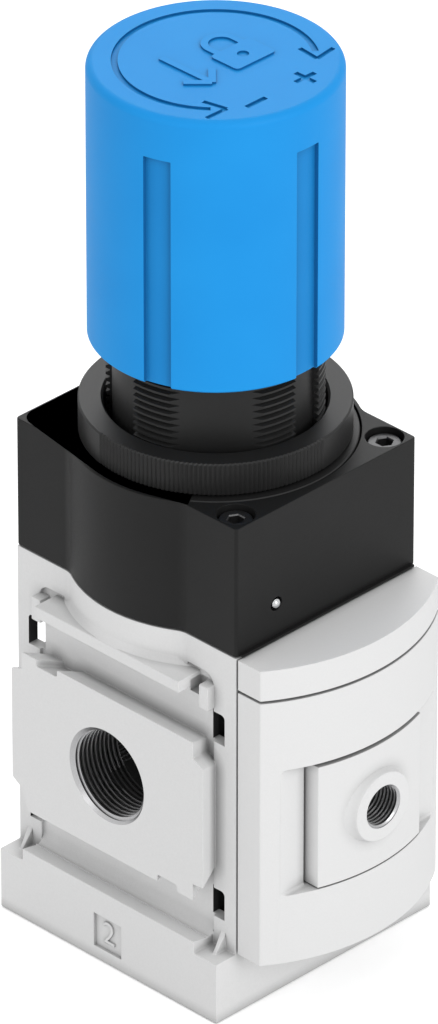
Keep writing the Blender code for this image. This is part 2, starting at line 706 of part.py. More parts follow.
def bottom_plug():
    """Threaded plug that closes the valve chamber, with the valve's guide tube and two spanner holes."""
    guide = SKIRT_RADIUS + GAP
    groove = PLUG_RADIUS - 2 * RING_SECTION - GAP
    middle = PLUG_HEIGHT * 0.6
    half = RING_SECTION + GAP
    profile = [
        (0.0, 0.0),
        (PLUG_RADIUS, 0.0),
        (PLUG_RADIUS, middle - half),
        (groove, middle - half),
        (groove, middle + half),
        (PLUG_RADIUS, middle + half),
        (PLUG_RADIUS, PLUG_HEIGHT),
        (PLUG_GUIDE_RADIUS, PLUG_HEIGHT),
        (PLUG_GUIDE_RADIUS, PLUG_GUIDE_TOP),
        (guide, PLUG_GUIDE_TOP),
        (guide, PLUG_GUIDE_FLOOR),
        (0.0, PLUG_GUIDE_FLOOR),
    ]
    plug = turned("bottom_plug", profile, "aluminium")
    bm = bmesh.new()
    for x in (-SPANNER_HOLE_AT, SPANNER_HOLE_AT):
        hole = SPANNER_HOLE_RADIUS
        profile = [(0.0, -TINY), (hole, -TINY), (hole, 3.0 * MM), (0.0, 3.0 * MM)]
        add_turned(bm, profile, "Z", (x, 0.0), 16)
    cut(plug, place_mesh("cut_spanner_holes", bm))
    seal_ring("plug_ring", groove + GAP + RING_SECTION, RING_SECTION, middle)


def valve():
    """The balanced valve: poppet, disc, seat, stem, guide ring and closing spring."""
    groove_depth = 1.8 * MM
    ring_z = PLUG_GUIDE_TOP - 3.3 * MM
    half = 0.75 * MM + GAP
    inner = SKIRT_RADIUS - groove_depth
    socket = STEM_RADIUS + GAP
    stem_foot = FLANGE_BOTTOM + 4.0 * MM
    profile = [
        (0.0, SKIRT_BOTTOM),
        (SKIRT_RADIUS, SKIRT_BOTTOM),
        (SKIRT_RADIUS, ring_z - half),
        (inner, ring_z - half),
        (inner, ring_z + half),
        (SKIRT_RADIUS, ring_z + half),
        (SKIRT_RADIUS, FLANGE_BOTTOM),
        (FLANGE_RADIUS, FLANGE_BOTTOM),
        (FLANGE_RADIUS, FLANGE_TOP),
        (HEAD_RADIUS, FLANGE_TOP),
        (HEAD_RADIUS, HEAD_TOP),
        (SPIGOT_RADIUS, HEAD_TOP),
        (SPIGOT_RADIUS, DISC_TOP + 0.5 * MM),
        (socket, DISC_TOP + 0.5 * MM),
        (socket, stem_foot - GAP),
        (0.0, stem_foot - GAP),
    ]
    turned("valve_poppet", profile, "brass")
    bore = SPIGOT_RADIUS + GAP
    disc = [(bore, DISC_BOTTOM), (DISC_RADIUS, DISC_BOTTOM), (DISC_RADIUS, DISC_TOP), (bore, DISC_TOP)]
    turned("valve_disc", disc, "rubber")
    stem = [(0.0, stem_foot), (STEM_RADIUS, stem_foot), (STEM_RADIUS, STEM_TOP - 1.0 * MM)]
    turned("valve_stem", stem + [(STEM_RADIUS * 0.6, STEM_TOP), (0.0, STEM_TOP)], "steel", sides=12)
    seal_ring("poppet_ring", inner + GAP + 0.75 * MM, 0.75 * MM, ring_z)
    bore = SEAT_BORE_RADIUS
    seat = [
        (bore, SEAT_LIP_Z),
        (bore + 0.8 * MM, SEAT_LIP_Z),
        (bore + 1.3 * MM, LOWER_TOP - GAP),
        (SEAT_RADIUS, LOWER_TOP - GAP),
        (SEAT_RADIUS, SEAT_TOP),
        (bore, SEAT_TOP),
    ]
    turned("valve_seat", seat, "brass")
    bottom = PLUG_HEIGHT + GAP
    top = FLANGE_BOTTOM - GAP
    coil("valve_spring", VALVE_COIL_RADIUS, VALVE_WIRE, bottom, top, VALVE_COILS, 12, "spring_steel")


def baffle_plate():
    """Disc between the outlet chamber and the diaphragm, with the stem's guide hole and a sensing hole."""
    hole = STEM_RADIUS + GAP
    outer = UPPER_CHAMBER_RADIUS - GAP
    bottom = BAFFLE_SEAT + GAP
    top = bottom + BAFFLE_THICKNESS
    plate = turned("baffle_plate", [(hole, bottom), (outer, bottom), (outer, top), (hole, top)], "aluminium")
    sensing = 1.5 * MM
    profile = [(0.0, bottom - TINY), (sensing, bottom - TINY), (sensing, top + TINY), (0.0, top + TINY)]
    cut(plate, turned("cut_sensing_hole", profile, centre=(0.0, 12.0 * MM), sides=16))


def diaphragm_set():
    """Rolling diaphragm with its plates, the relief seat that clamps them, and the nut above."""
    hub = RELIEF_HUB_RADIUS + GAP
    outer = DIAPHRAGM_RECESS_RADIUS - GAP
    low, high = DIAPHRAGM_BOTTOM, DIAPHRAGM_TOP
    loop_in = PLATE_RADIUS + 0.9 * MM
    loop_out = BLOCK_CHAMBER_RADIUS - 1.2 * MM
    rise = DIAPHRAGM_LOOP
    skin = DIAPHRAGM_THICKNESS * 0.8
    crown = (loop_out - loop_in) / 4
    profile = [
        (hub, low),
        (loop_in + skin, low),
        (loop_in + crown + skin / 2, high + rise - skin),
        (loop_out - crown - skin / 2, high + rise - skin),
        (loop_out - skin, low),
        (outer, low),
        (outer, high),
        (loop_out, high),
        (loop_out - crown, high + rise),
        (loop_in + crown, high + rise),
        (loop_in, high),
        (hub, high),
    ]
    turned("main_diaphragm", profile, "rubber")
    low, high = LOWER_PLATE_BOTTOM, LOWER_PLATE_TOP
    profile = [(hub, low), (PLATE_RADIUS - 1.0 * MM, low), (PLATE_RADIUS, high), (hub, high)]
    turned("lower_plate", profile, "aluminium")
    boss_top = SPRING_SEAT + SPRING_PLATE_BOSS
    pocket = 6.0 * MM
    profile = [
        (hub, SPRING_PLATE_BOTTOM),
        (PLATE_RADIUS, SPRING_PLATE_BOTTOM),
        (PLATE_RADIUS, SPRING_SEAT),
        (SPRING_BOSS_RADIUS, SPRING_SEAT),
        (SPRING_BOSS_RADIUS, boss_top),
        (pocket, boss_top),
        (pocket, SPRING_SEAT),
        (hub, SPRING_SEAT),
    ]
    turned("spring_plate", profile, "steel")
    nut_bottom = SPRING_SEAT + GAP
    nut_top = nut_bottom + 3.0 * MM
    hub_top = nut_top + 1.0 * MM
    profile = [
        (RELIEF_HOLE_RADIUS, RELIEF_BOTTOM),
        (RELIEF_FLANGE_RADIUS, RELIEF_BOTTOM),
        (RELIEF_FLANGE_RADIUS, RELIEF_TOP),
        (RELIEF_HUB_RADIUS, RELIEF_TOP),
        (RELIEF_HUB_RADIUS, hub_top),
        (RELIEF_HOLE_RADIUS, hub_top),
    ]
    turned("relief_seat", profile, "brass", sides=24)
    bm = bmesh.new()
    across = 4.6 * MM
    hexagon = hexagon_points(across, 4)
    add_ring(bm, hexagon, arc(hub, 0.0, 345.0, 23), nut_bottom, nut_top)
    place_mesh("plate_nut", bm, "brass")


def hexagon_points(corner, steps):
    """A hexagon with corners at the radius corner, each side divided into steps."""
    corners = arc(corner, 0.0, 300.0, 5)
    points = []
    for i in range(6):
        (ax, ay), (bx, by) = corners[i], corners[(i + 1) % 6]
        for k in range(steps):
            share = k / steps
            points.append((ax + (bx - ax) * share, ay + (by - ay) * share))
    return points


def block_outline():
    """Top view of the black block: a rectangle with cut corners and a round bulge on each side."""
    half_y = BODY_REAR
    corner = BLOCK_CORNER
    right = [(WALL_X - corner, -half_y), (WALL_X, -half_y + corner)]
    if BULGE_RADIUS > WALL_X:
        reach = math.degrees(math.acos(WALL_X / BULGE_RADIUS))
        right += arc(BULGE_RADIUS, -reach, reach, 10)
    right += [(WALL_X, half_y - corner), (WALL_X - corner, half_y)]
    return right + [(-x, y) for x, y in reversed(right)]


def spring_housing():
    """Black block with the diaphragm chamber, the bonnet's bore, four counterbores and the vent."""
    bm = bmesh.new()
    add_prism(bm, "Z", block_outline(), BLOCK_BOTTOM, BLOCK_TOP)
    block = place_mesh("spring_housing", bm, "black_plastic")

    bm = bmesh.new()
    inset = 1.0 * MM
    add_box(
        bm,
        (-WALL_X + inset, WALL_X - inset),
        (BODY_FRONT - BLOCK_LIP_REACH, BODY_FRONT + 1.0 * MM),
        (BLOCK_BOTTOM + 0.1 * MM, BLOCK_BOTTOM + BLOCK_LIP_HEIGHT),
    )
    join(block, place_mesh("add_front_lip", bm))

    bore = BONNET_SKIRT + GAP
    groove = bore + SNAP_DEPTH
    half = SNAP_THICKNESS / 2 + GAP
    profile = [
        (0.0, BLOCK_BOTTOM - TINY),
        (BLOCK_CHAMBER_RADIUS, BLOCK_BOTTOM - TINY),
        (BLOCK_CHAMBER_RADIUS, BONNET_LEDGE),
        (bore, BONNET_LEDGE),
        (bore, SNAP_Z - half),
        (groove, SNAP_Z - half),
        (groove, SNAP_Z + half),
        (bore, SNAP_Z + half),
        (bore, FLANGE_SEAT),
        (FLANGE_BORE, FLANGE_SEAT),
        (FLANGE_BORE, BLOCK_TOP + TINY),
        (0.0, BLOCK_TOP + TINY),
    ]
    cut(block, turned("cut_block_bore", profile, sides=SLEEVE_SIDES))

    bm = bmesh.new()
    shank = SCREW_SHANK_RADIUS + GAP
    for x in (-SCREW_X, SCREW_X):
        for y in (-SCREW_Y, SCREW_Y):
            profile = [
                (0.0, BLOCK_BOTTOM - TINY),
                (shank, BLOCK_BOTTOM - TINY),
                (shank, SCREW_SEAT - GAP),
                (COUNTERBORE_RADIUS, SCREW_SEAT - GAP),
                (COUNTERBORE_RADIUS, BLOCK_TOP + TINY),
                (0.0, BLOCK_TOP + TINY),
            ]
            add_turned(bm, profile, "Z", (x, y), SMALL_ROUND)
    cut(block, place_mesh("cut_counterbores", bm))

    floor = BODY_FRONT + VENT_DEPTH
    profile = [
        (0.0, BODY_FRONT - TINY),
        (VENT_RADIUS, BODY_FRONT - TINY),
        (VENT_RADIUS, floor),
        (VENT_BORE, floor),
        (VENT_BORE, 0.0),
        (0.0, 0.0),
    ]
    vent_z = BLOCK_BOTTOM + VENT_RISE
    cut(block, turned("cut_vent", profile, axis="Y", centre=(VENT_X, vent_z), sides=12))

    radius = VENT_RADIUS - GAP
    middle = floor - GAP - radius
    profile = [(abs(a), middle + b) for a, b in arc(radius, -90.0, 90.0, 6)]
    profile[0] = (0.0, middle - radius)
    profile[-1] = (0.0, middle + radius)
    turned("vent_ball", profile, "steel", "Y", (VENT_X, vent_z), 12)


def cover_screws():
    """Four socket-head screws that clamp the black block to the housing."""
    chamfer = 0.4 * MM
    number = 0
    for y in (-SCREW_Y, SCREW_Y):
        for x in (-SCREW_X, SCREW_X):
            number += 1
            profile = [
                (0.0, SCREW_TIP),
                (SCREW_SHANK_RADIUS - chamfer, SCREW_TIP),
                (SCREW_SHANK_RADIUS, SCREW_TIP + chamfer),
                (SCREW_SHANK_RADIUS, SCREW_SEAT),
                (SCREW_HEAD_RADIUS, SCREW_SEAT),
                (SCREW_HEAD_RADIUS, SCREW_TOP - chamfer),
                (SCREW_HEAD_RADIUS - chamfer, SCREW_TOP),
                (0.0, SCREW_TOP),
            ]
            screw = turned(f"cover_screw_{number}", profile, "steel", centre=(x, y), sides=SMALL_ROUND)
            bm = bmesh.new()
            corner = SCREW_HEX / math.sqrt(3.0)
            outline = arc(corner, 0.0, 300.0, 5, (x, y))
            add_prism(bm, "Z", outline, SCREW_TOP - SCREW_HEX_DEPTH, SCREW_TOP + TINY)
            cut(screw, place_mesh(f"cut_screw_hex_{number}", bm))


def sector(radius_in, radius_out, start, stop, steps):
    return arc(radius_out, start, stop, steps) + arc(radius_in, stop, start, steps)


def bonnet():
    """Black bonnet: flange flush in the block's top, threaded sleeve above it and a skirt below it."""
    flange = SLEEVE_RADIUS + BONNET_FLANGE
    groove = BONNET_SKIRT - SNAP_DEPTH
    half = SNAP_THICKNESS / 2 + GAP
    flange_top = BLOCK_TOP - 0.1 * MM
    flange_bottom = flange_top - BONNET_FLANGE_HEIGHT
    bore = SPINDLE_RADIUS + GAP
    profile = [
        (BONNET_INNER, BONNET_LEDGE + GAP),
        (BONNET_SKIRT, BONNET_LEDGE + GAP),
        (BONNET_SKIRT, SNAP_Z - half),
        (groove, SNAP_Z - half),
        (groove, SNAP_Z + half),
        (BONNET_SKIRT, SNAP_Z + half),
        (BONNET_SKIRT, flange_bottom),
        (flange, flange_bottom),
        (flange, flange_top),
        (SLEEVE_RADIUS, flange_top),
        (SLEEVE_RADIUS, BONNET_TOP),
        (bore, BONNET_TOP),
        (bore, WEB_BOTTOM),
        (BONNET_INNER, WEB_BOTTOM),
    ]
    sleeve = turned("bonnet", profile, "black_plastic", sides=SLEEVE_SIDES)

    bm = bmesh.new()
    for end in (-1, 1):
        y = sorted((end * (BONNET_INNER - KEY_HEIGHT), end * (BONNET_INNER + 0.6 * MM)))
        add_box(bm, (-KEY_HALF, KEY_HALF), y, (BONNET_LEDGE + 1.0 * MM, WEB_BOTTOM + 1.0 * MM))
    join(sleeve, place_mesh("add_bonnet_keys", bm))

    bm = bmesh.new()
    floor = SLEEVE_RADIUS - SLOT_DEPTH
    levels = (flange_top, BONNET_TOP + TINY)
    for turn in (0.0, 180.0):
        for start, stop in (SLOT_NARROW, SLOT_WIDE):
            outline = sector(floor, SLEEVE_RADIUS + 1.0 * MM, start + turn, stop + turn, 8)
            add_prism(bm, "Z", outline, *levels)
    cut(sleeve, place_mesh("cut_sleeve_slots", bm))

    bm = bmesh.new()
    depth = math.sqrt(SLEEVE_RADIUS**2 - FLAT_HALF_WIDTH**2)
    for turn in (0.0, 180.0):
        angle = math.radians(FLAT_ANGLE + turn)
        out = (math.cos(angle), math.sin(angle))
        side = (-out[1], out[0])
        corners = []
        for along, across in ((depth, -1.2), (SLEEVE_RADIUS + TINY, -1.2), (SLEEVE_RADIUS + TINY, 1.2), (depth, 1.2)):
            reach = across * FLAT_HALF_WIDTH
            corners.append((out[0] * along + side[0] * reach, out[1] * along + side[1] * reach))
        add_prism(bm, "Z", corners, *levels)
    cut(sleeve, place_mesh("cut_sleeve_flats", bm))

    ring_in = groove + GAP
    ring_out = BONNET_SKIRT + SNAP_DEPTH
    low, high = SNAP_Z - SNAP_THICKNESS / 2, SNAP_Z + SNAP_THICKNESS / 2
    open_ring("snap_ring", ring_in, ring_out, low, high, SNAP_OPENING, 90.0, "spring_steel")


def toothed_outline(root, tooth, teeth):
    """Outline of a ring with square teeth: four points for each tooth."""
    pitch = 360.0 / teeth
    points = []
    for i in range(teeth):
        for share, radius in ((-0.22, root + tooth), (0.22, root + tooth), (0.28, root), (0.72, root)):
            angle = math.radians((i + share) * pitch)
            points.append((radius * math.cos(angle), radius * math.sin(angle)))
    return points


def knurled_outline(radius):
    """Outline with fine straight knurls in two sectors and a plain round edge between them."""
    points = []
    for i in range(2 * KNURL_TEETH):
        turn = 180.0 * i / KNURL_TEETH
        inside = False
        for start, stop in KNURL_SECTORS:
            if start <= turn <= stop or start <= turn - 360.0 <= stop:
                inside = True
        reach = radius - KNURL_DEPTH if inside and i % 2 else radius
        angle = math.radians(turn)
        points.append((reach * math.cos(angle), reach * math.sin(angle)))
    return points


def ring_nut():
    """Knurled nut on the sleeve's thread, for fixing the regulator in a panel."""
    inner = SLEEVE_RADIUS + THREAD_CLEARANCE
    outer = knurled_outline(inner + PANEL_NUT_WALL)
    bore = arc(inner, 0.0, 360.0 - 180.0 / KNURL_TEETH, 2 * KNURL_TEETH - 1)
    bottom = BLOCK_TOP + GAP
    bm = bmesh.new()
    add_ring(bm, outer, bore, bottom, bottom + PANEL_NUT_HEIGHT)
    place_mesh("panel_nut", bm, "black_plastic")


def lock_ring():
    """Toothed ring on the bonnet's top, which holds the knob when it is pushed down."""
    bottom = BONNET_TOP + GAP
    outer = toothed_outline(LOCK_ROOT, LOCK_TOOTH, LOCK_TEETH)
    count = len(outer)
    inner = arc(LOCK_INNER, -0.22 * 360.0 / LOCK_TEETH, 360.0 - 360.0 / count - 0.22 * 360.0 / LOCK_TEETH, count - 1)
    bm = bmesh.new()
    add_ring(bm, outer, inner, bottom, bottom + LOCK_HEIGHT)
    place_mesh("lock_ring", bm, "black_plastic")


def spindle_set():
    """Spindle with its collar, thrust washer and circlip, and the keyed nut that it drives."""
    neck_top = BONNET_TOP + GAP + CIRCLIP_THICKNESS + SPINDLE_NECK
    groove = SPINDLE_RADIUS - CIRCLIP_DEPTH
    corner = SPINDLE_HEX / math.sqrt(3.0)
    profile = [
        (0.0, COLLAR_BOTTOM - SPINDLE_BELOW),
        (SPINDLE_RADIUS - 0.8 * MM, COLLAR_BOTTOM - SPINDLE_BELOW),
        (SPINDLE_RADIUS, COLLAR_BOTTOM - SPINDLE_BELOW + 0.8 * MM),
        (SPINDLE_RADIUS, COLLAR_BOTTOM),
        (COLLAR_RADIUS, COLLAR_BOTTOM),
        (COLLAR_RADIUS, COLLAR_TOP),
        (SPINDLE_RADIUS, COLLAR_TOP),
        (SPINDLE_RADIUS, CIRCLIP_BOTTOM - GAP),
        (groove, CIRCLIP_BOTTOM - GAP),
        (groove, CIRCLIP_BOTTOM + CIRCLIP_THICKNESS + GAP),
        (SPINDLE_RADIUS, CIRCLIP_BOTTOM + CIRCLIP_THICKNESS + GAP),
        (SPINDLE_RADIUS, neck_top),
        (0.0, neck_top),
    ]
    spindle = turned("spindle", profile, "steel", sides=24)
    bm = bmesh.new()
    add_prism(bm, "Z", arc(corner, 0.0, 300.0, 5), neck_top - GAP, neck_top + SPINDLE_HEX_LENGTH)
    join(spindle, place_mesh("add_spindle_hex", bm))

    bore = SPINDLE_RADIUS + GAP
    low = WASHER_TOP - WASHER_THICKNESS
    washer = [(bore, low), (WASHER_RADIUS, low), (WASHER_RADIUS, WASHER_TOP), (bore, WASHER_TOP)]
    turned("thrust_washer", washer, "brass", sides=24)
    inner = groove + GAP
    high = CIRCLIP_BOTTOM + CIRCLIP_THICKNESS
    outer = SPINDLE_RADIUS + CIRCLIP_REACH
    open_ring("spindle_circlip", inner, outer, CIRCLIP_BOTTOM, high, CIRCLIP_OPENING, 0.0, "spring_steel")

    flange_top = NUT_BOTTOM + NUT_FLANGE_HEIGHT
    plate = BONNET_INNER - GAP
    profile = [
        (bore, NUT_BOTTOM - NUT_BOSS_HEIGHT),
        (SPRING_BOSS_RADIUS, NUT_BOTTOM - NUT_BOSS_HEIGHT),
        (SPRING_BOSS_RADIUS, NUT_BOTTOM),
        (plate, NUT_BOTTOM),
        (plate, flange_top),
        (NUT_HUB_RADIUS, flange_top),
        (NUT_HUB_RADIUS, NUT_TOP),
        (bore, NUT_TOP),
    ]
    nut = turned("spring_nut", profile, "steel")
    bm = bmesh.new()
    for end in (-1, 1):
        y = sorted((end * (BONNET_INNER - KEY_HEIGHT - GAP), end * (plate + TINY)))
        half = KEY_HALF + GAP
        add_box(bm, (-half, half), y, (NUT_BOTTOM - TINY, flange_top + TINY))
    cut(nut, place_mesh("cut_nut_keyways", bm))

    coil(
        "range_spring",
        SPRING_COIL_RADIUS,
        SPRING_WIRE,
        SPRING_SEAT + GAP,
        NUT_BOTTOM - GAP,
        SPRING_COILS,
        16,
        "spring_steel",
    )


def stroke(ax, ay, bx, by, width):
    """A straight stroke of the engraving, from a to b."""
    length = math.hypot(bx - ax, by - ay)
    nx, ny = -(by - ay) / length * width / 2, (bx - ax) / length * width / 2
    return [(ax + nx, ay + ny), (ax - nx, ay - ny), (bx - nx, by - ny), (bx + nx, by + ny)]


def knob():
    """Blue hand knob: a cup with grip grooves, a hexagonal hub, a toothed crown and an engraved top."""
    edge = KNOB_EDGE
    profile = [(0.0, KNOB_CEILING), (KNOB_BORE, KNOB_CEILING), (KNOB_BORE, KNOB_RIM)]
    profile += [(KNOB_RADIUS, KNOB_RIM)]
    profile += arc(edge, 0.0, 90.0, 4, (KNOB_RADIUS - edge, KNOB_TOP - edge))
    profile += [(0.0, KNOB_TOP)]
    cup = turned("knob", profile, "blue_plastic", sides=KNOB_SIDES)

    corner = (SPINDLE_HEX + 2 * GAP) / math.sqrt(3.0)
    hub = corner + HUB_WALL
    hub_bottom = BONNET_TOP + HUB_RISE
    outline = [(0.0, hub_bottom), (hub, hub_bottom), (hub, KNOB_CEILING + 1.0 * MM), (0.0, KNOB_CEILING + 1.0 * MM)]
    join(cup, turned("add_knob_hub", outline, sides=24))

    pitch = 360.0 / LOCK_TEETH
    inner = toothed_outline(LOCK_ROOT + LOCK_CLEARANCE, LOCK_TOOTH, LOCK_TEETH)
    count = len(inner)
    outer = arc(KNOB_BORE + 0.8 * MM, -0.22 * pitch, 360.0 - 360.0 / count - 0.22 * pitch, count - 1)
    crown = BONNET_TOP + CROWN_RISE
    bm = bmesh.new()
    add_ring(bm, outer, inner, crown, crown + CROWN_HEIGHT)
    join(cup, place_mesh("add_knob_crown", bm))

    bm = bmesh.new()
    add_prism(bm, "Z", arc(corner, 0.0, 300.0, 5), hub_bottom - TINY, KNOB_CEILING - 2.0 * MM)
    cut(cup, place_mesh("cut_hub_hex", bm))

    bm = bmesh.new()
    top = KNOB_TOP - GROOVE_FROM_TOP
    half = math.degrees(math.asin(GROOVE_WIDTH / 2 / KNOB_RADIUS))
    for i in range(KNOB_GROOVES):
        middle = 270.0 + 360.0 * i / KNOB_GROOVES
        outline = sector(KNOB_RADIUS - GROOVE_DEPTH, KNOB_RADIUS + 1.0 * MM, middle - half, middle + half, 4)
        add_prism(bm, "Z", outline, KNOB_RIM - TINY, top)
    cut(cup, place_mesh("cut_grip_grooves", bm))

    floor = KNOB_TOP - MARK_DEPTH
    bm = bmesh.new()
    ring_in, ring_out = MARK_RADIUS - MARK_WIDTH / 2, MARK_RADIUS + MARK_WIDTH / 2
    clear = math.degrees(ARROW_CLEAR / MARK_RADIUS)
    ring = sector(ring_in, ring_out, MARK_FROM + clear, MARK_TO - clear, 32)
    add_prism(bm, "Z", ring, floor, KNOB_TOP + TINY)
    half_length = SIGN_LENGTH / 2
    reach = MARK_RADIUS - SIGN_FROM_CIRCLE
    minus_x, minus_y = arc(reach, MINUS_ANGLE, MINUS_ANGLE, 1)[0]
    plus_x, plus_y = arc(reach, PLUS_ANGLE, PLUS_ANGLE, 1)[0]
    minus = stroke(minus_x - half_length, minus_y, minus_x + half_length, minus_y, MARK_WIDTH)
    add_prism(bm, "Z", minus, floor, KNOB_TOP + TINY)
    arm, bar = half_length, MARK_WIDTH / 2
    quarter = [(bar, arm), (bar, bar), (arm, bar)]
    plus = []
    for i in range(4):
        angle = -math.tau / 4 * i
        for a, b in quarter:
            x = a * math.cos(angle) - b * math.sin(angle)
            y = a * math.sin(angle) + b * math.cos(angle)
            plus.append((plus_x + x, plus_y + y))
    add_prism(bm, "Z", plus, floor, KNOB_TOP + TINY)
    for angle, way in ((MARK_FROM, -1.0), (MARK_TO, 1.0)):
        add_prism(bm, "Z", arrow_head(angle, way), floor, KNOB_TOP + TINY)
    cut(cup, place_mesh("cut_knob_marks", bm))


def arrow_head(angle, way):
    """An open arrow head on the marked circle, pointing the way that the circle runs."""
    turn = math.radians(angle)
    tip = (MARK_RADIUS * math.cos(turn), MARK_RADIUS * math.sin(turn))
    ahead = (-way * math.sin(turn), way * math.cos(turn))
    out = (math.cos(turn), math.sin(turn))
    back = ARROW_ARM * 0.75
    thick = MARK_WIDTH * 1.2
    shape = [(0.0, 0.0), (-back, back), (-back - thick * 0.6, back - thick * 0.6)]
    shape += [(-thick, 0.0), (-back - thick * 0.6, thick * 0.6 - back), (-back, -back)]
    return [(tip[0] + ahead[0] * a + out[0] * b, tip[1] + ahead[1] * a + out[1] * b) for a, b in shape]


def arc_outline(half_width, radius, back, clip=None):
    """Top view of a curved front piece: straight back and sides and a round front, from left to right."""
    reach = math.degrees(math.asin(half_width / radius))
    front = arc(radius, 270.0 - reach, 270.0 + reach, 16, (0.0, ARC_CENTRE_Y))
    if clip is not None:
        front = [(x, max(y, clip)) for x, y in front]
    return [(-half_width, back)] + front + [(half_width, back)]


def front_cover():
    """Curved plastic cover with a window for the gauge adapter, flat reliefs beside it and two posts."""
    bm = bmesh.new()
    add_prism(bm, "Z", arc_outline(WALL_X, COVER_ARC_RADIUS, COVER_BACK), COVER_BOTTOM, COVER_TOP)
    cover = place_mesh("front_cover", bm, "light_grey_plastic")

    inside = WALL_X - COVER_WALL
    radius = COVER_ARC_RADIUS - COVER_WALL
    window_low = PORT_Z - WINDOW_DOWN
    window_high = PORT_Z + WINDOW_UP
    back = COVER_BACK + TINY
    low = COVER_BOTTOM + COVER_WALL
    high = COVER_TOP - COVER_WALL
    full = arc_outline(inside, radius, back)
    bm = bmesh.new()
    add_prism(bm, "Z", full, low, window_low - RELIEF_FLOOR)
    add_prism(bm, "Z", full, window_high + RELIEF_FLOOR, high)
    cut(cover, place_mesh("cut_cover_inside", bm))
    bm = bmesh.new()
    shallow = arc_outline(inside - 0.2 * MM, radius, back, FLOOR_Y + RELIEF_FLOOR)
    add_prism(bm, "Z", shallow, low + 1.0 * MM, high - 1.0 * MM)
    cut(cover, place_mesh("cut_cover_middle", bm))

    bm = bmesh.new()
    add_box(bm, (-WINDOW_HALF, WINDOW_HALF), (COVER_NOSE - TINY, FLOOR_Y), (window_low, window_high))
    cut(cover, place_mesh("cut_cover_window", bm))
    bm = bmesh.new()
    half = ADAPTER_HALF + ADAPTER_SIDE_GAP
    add_box(bm, (-half, half), (FLOOR_Y - 1.0 * MM, back), (window_low + 0.05 * MM, window_high - 0.05 * MM))
    cut(cover, place_mesh("cut_cover_opening", bm))

    bm = bmesh.new()
    for z in (LOWER_POST_Z, UPPER_POST_Z):
        profile = [
            (0.0, BODY_FRONT + PEG_LENGTH - GAP),
            (PEG_RADIUS, BODY_FRONT + PEG_LENGTH - GAP),
            (PEG_RADIUS, COVER_BACK - TINY),
            (POST_RADIUS, COVER_BACK - TINY),
            (POST_RADIUS, COVER_NOSE + COVER_WALL / 2),
            (0.0, COVER_NOSE + COVER_WALL / 2),
        ]
        add_turned(bm, profile, "Y", (0.0, z), SMALL_ROUND)
    join(cover, place_mesh("add_cover_posts", bm))


def front_cap():
    """Upper part of the curved front, a shallow shell that is open at the bottom, with two pegs."""
    bm = bmesh.new()
    add_prism(bm, "Z", arc_outline(WALL_X, COVER_ARC_RADIUS, COVER_BACK), CAP_BOTTOM, CAP_TOP)
    cap = place_mesh("front_cap", bm, "light_grey_plastic")
    bm = bmesh.new()
    hollow = arc_outline(WALL_X - COVER_WALL, COVER_ARC_RADIUS - COVER_WALL, COVER_BACK - COVER_WALL)
    add_prism(bm, "Z", hollow, CAP_BOTTOM - TINY, CAP_TOP - COVER_WALL)
    cut(cap, place_mesh("cut_cap_inside", bm))
    bm = bmesh.new()
    for x in (-CAP_PEG_X, CAP_PEG_X):
        start = COVER_BACK - COVER_WALL / 2
        end = BODY_FRONT + PEG_LENGTH - GAP
        profile = [(0.0, start), (PEG_RADIUS, start), (PEG_RADIUS, end), (0.0, end)]
        add_turned(bm, profile, "Y", (x, CAP_PEG_Z), SMALL_ROUND)
    join(cap, place_mesh("add_cap_pegs", bm))


def gauge_adapter():
    """Adapter plate in the cover's window, with the round boss, the threaded port and four pegs."""
    bm = bmesh.new()
    outline = arc_outline(ADAPTER_HALF, COVER_ARC_RADIUS, COVER_BACK)
    add_prism(bm, "Z", outline, PORT_Z - ADAPTER_DOWN, PORT_Z + ADAPTER_UP)
    adapter = place_mesh("gauge_adapter", bm, "light_grey_plastic")
    face = COVER_NOSE - BOSS_RISE
    boss = [(0.0, face), (BOSS_RADIUS, face), (BOSS_RADIUS, face + 6.0 * MM), (0.0, face + 6.0 * MM)]
    join(adapter, turned("add_adapter_boss", boss, axis="Y", centre=(0.0, PORT_Z), sides=32))
    bm = bmesh.new()
    for x in (-ADAPTER_PEG_X, ADAPTER_PEG_X):
        for z in (-ADAPTER_PEG_Z, ADAPTER_PEG_Z):
            start = COVER_BACK - 1.0 * MM
            end = BODY_FRONT + PEG_LENGTH - GAP
            profile = [(0.0, start), (PEG_RADIUS, start), (PEG_RADIUS, end), (0.0, end)]
            add_turned(bm, profile, "Y", (x, PORT_Z + z), SMALL_ROUND)
    join(adapter, place_mesh("add_adapter_pegs", bm))
    port = [
        (0.0, face - TINY),
        (GAUGE_RADIUS + 0.5 * MM, face - TINY),
        (GAUGE_RADIUS + 0.5 * MM, face),
        (GAUGE_RADIUS, face + 0.5 * MM),
        (GAUGE_RADIUS, face + GAUGE_DEPTH),
        (GAUGE_PASSAGE, face + GAUGE_DEPTH),
        (GAUGE_PASSAGE, COVER_BACK + TINY),
        (0.0, COVER_BACK + TINY),
    ]
    cut(adapter, turned("cut_gauge_port", port, axis="Y", centre=(0.0, PORT_Z), sides=32))
    inner = SEAL_RADIUS - RING_SECTION - GAP
    outer = SEAL_RADIUS + RING_SECTION + GAP
    depth = 2 * RING_SECTION + GAP
    groove = [
        (inner, COVER_BACK - depth),
        (outer, COVER_BACK - depth),
        (outer, COVER_BACK + TINY),
        (inner, COVER_BACK + TINY),
    ]
    cut(adapter, turned("cut_seal_groove", groove, axis="Y", centre=(0.0, PORT_Z), sides=32))
    along = COVER_BACK - RING_SECTION
    seal_ring("adapter_ring", SEAL_RADIUS, RING_SECTION, along, axis="Y", centre=(0.0, PORT_Z))


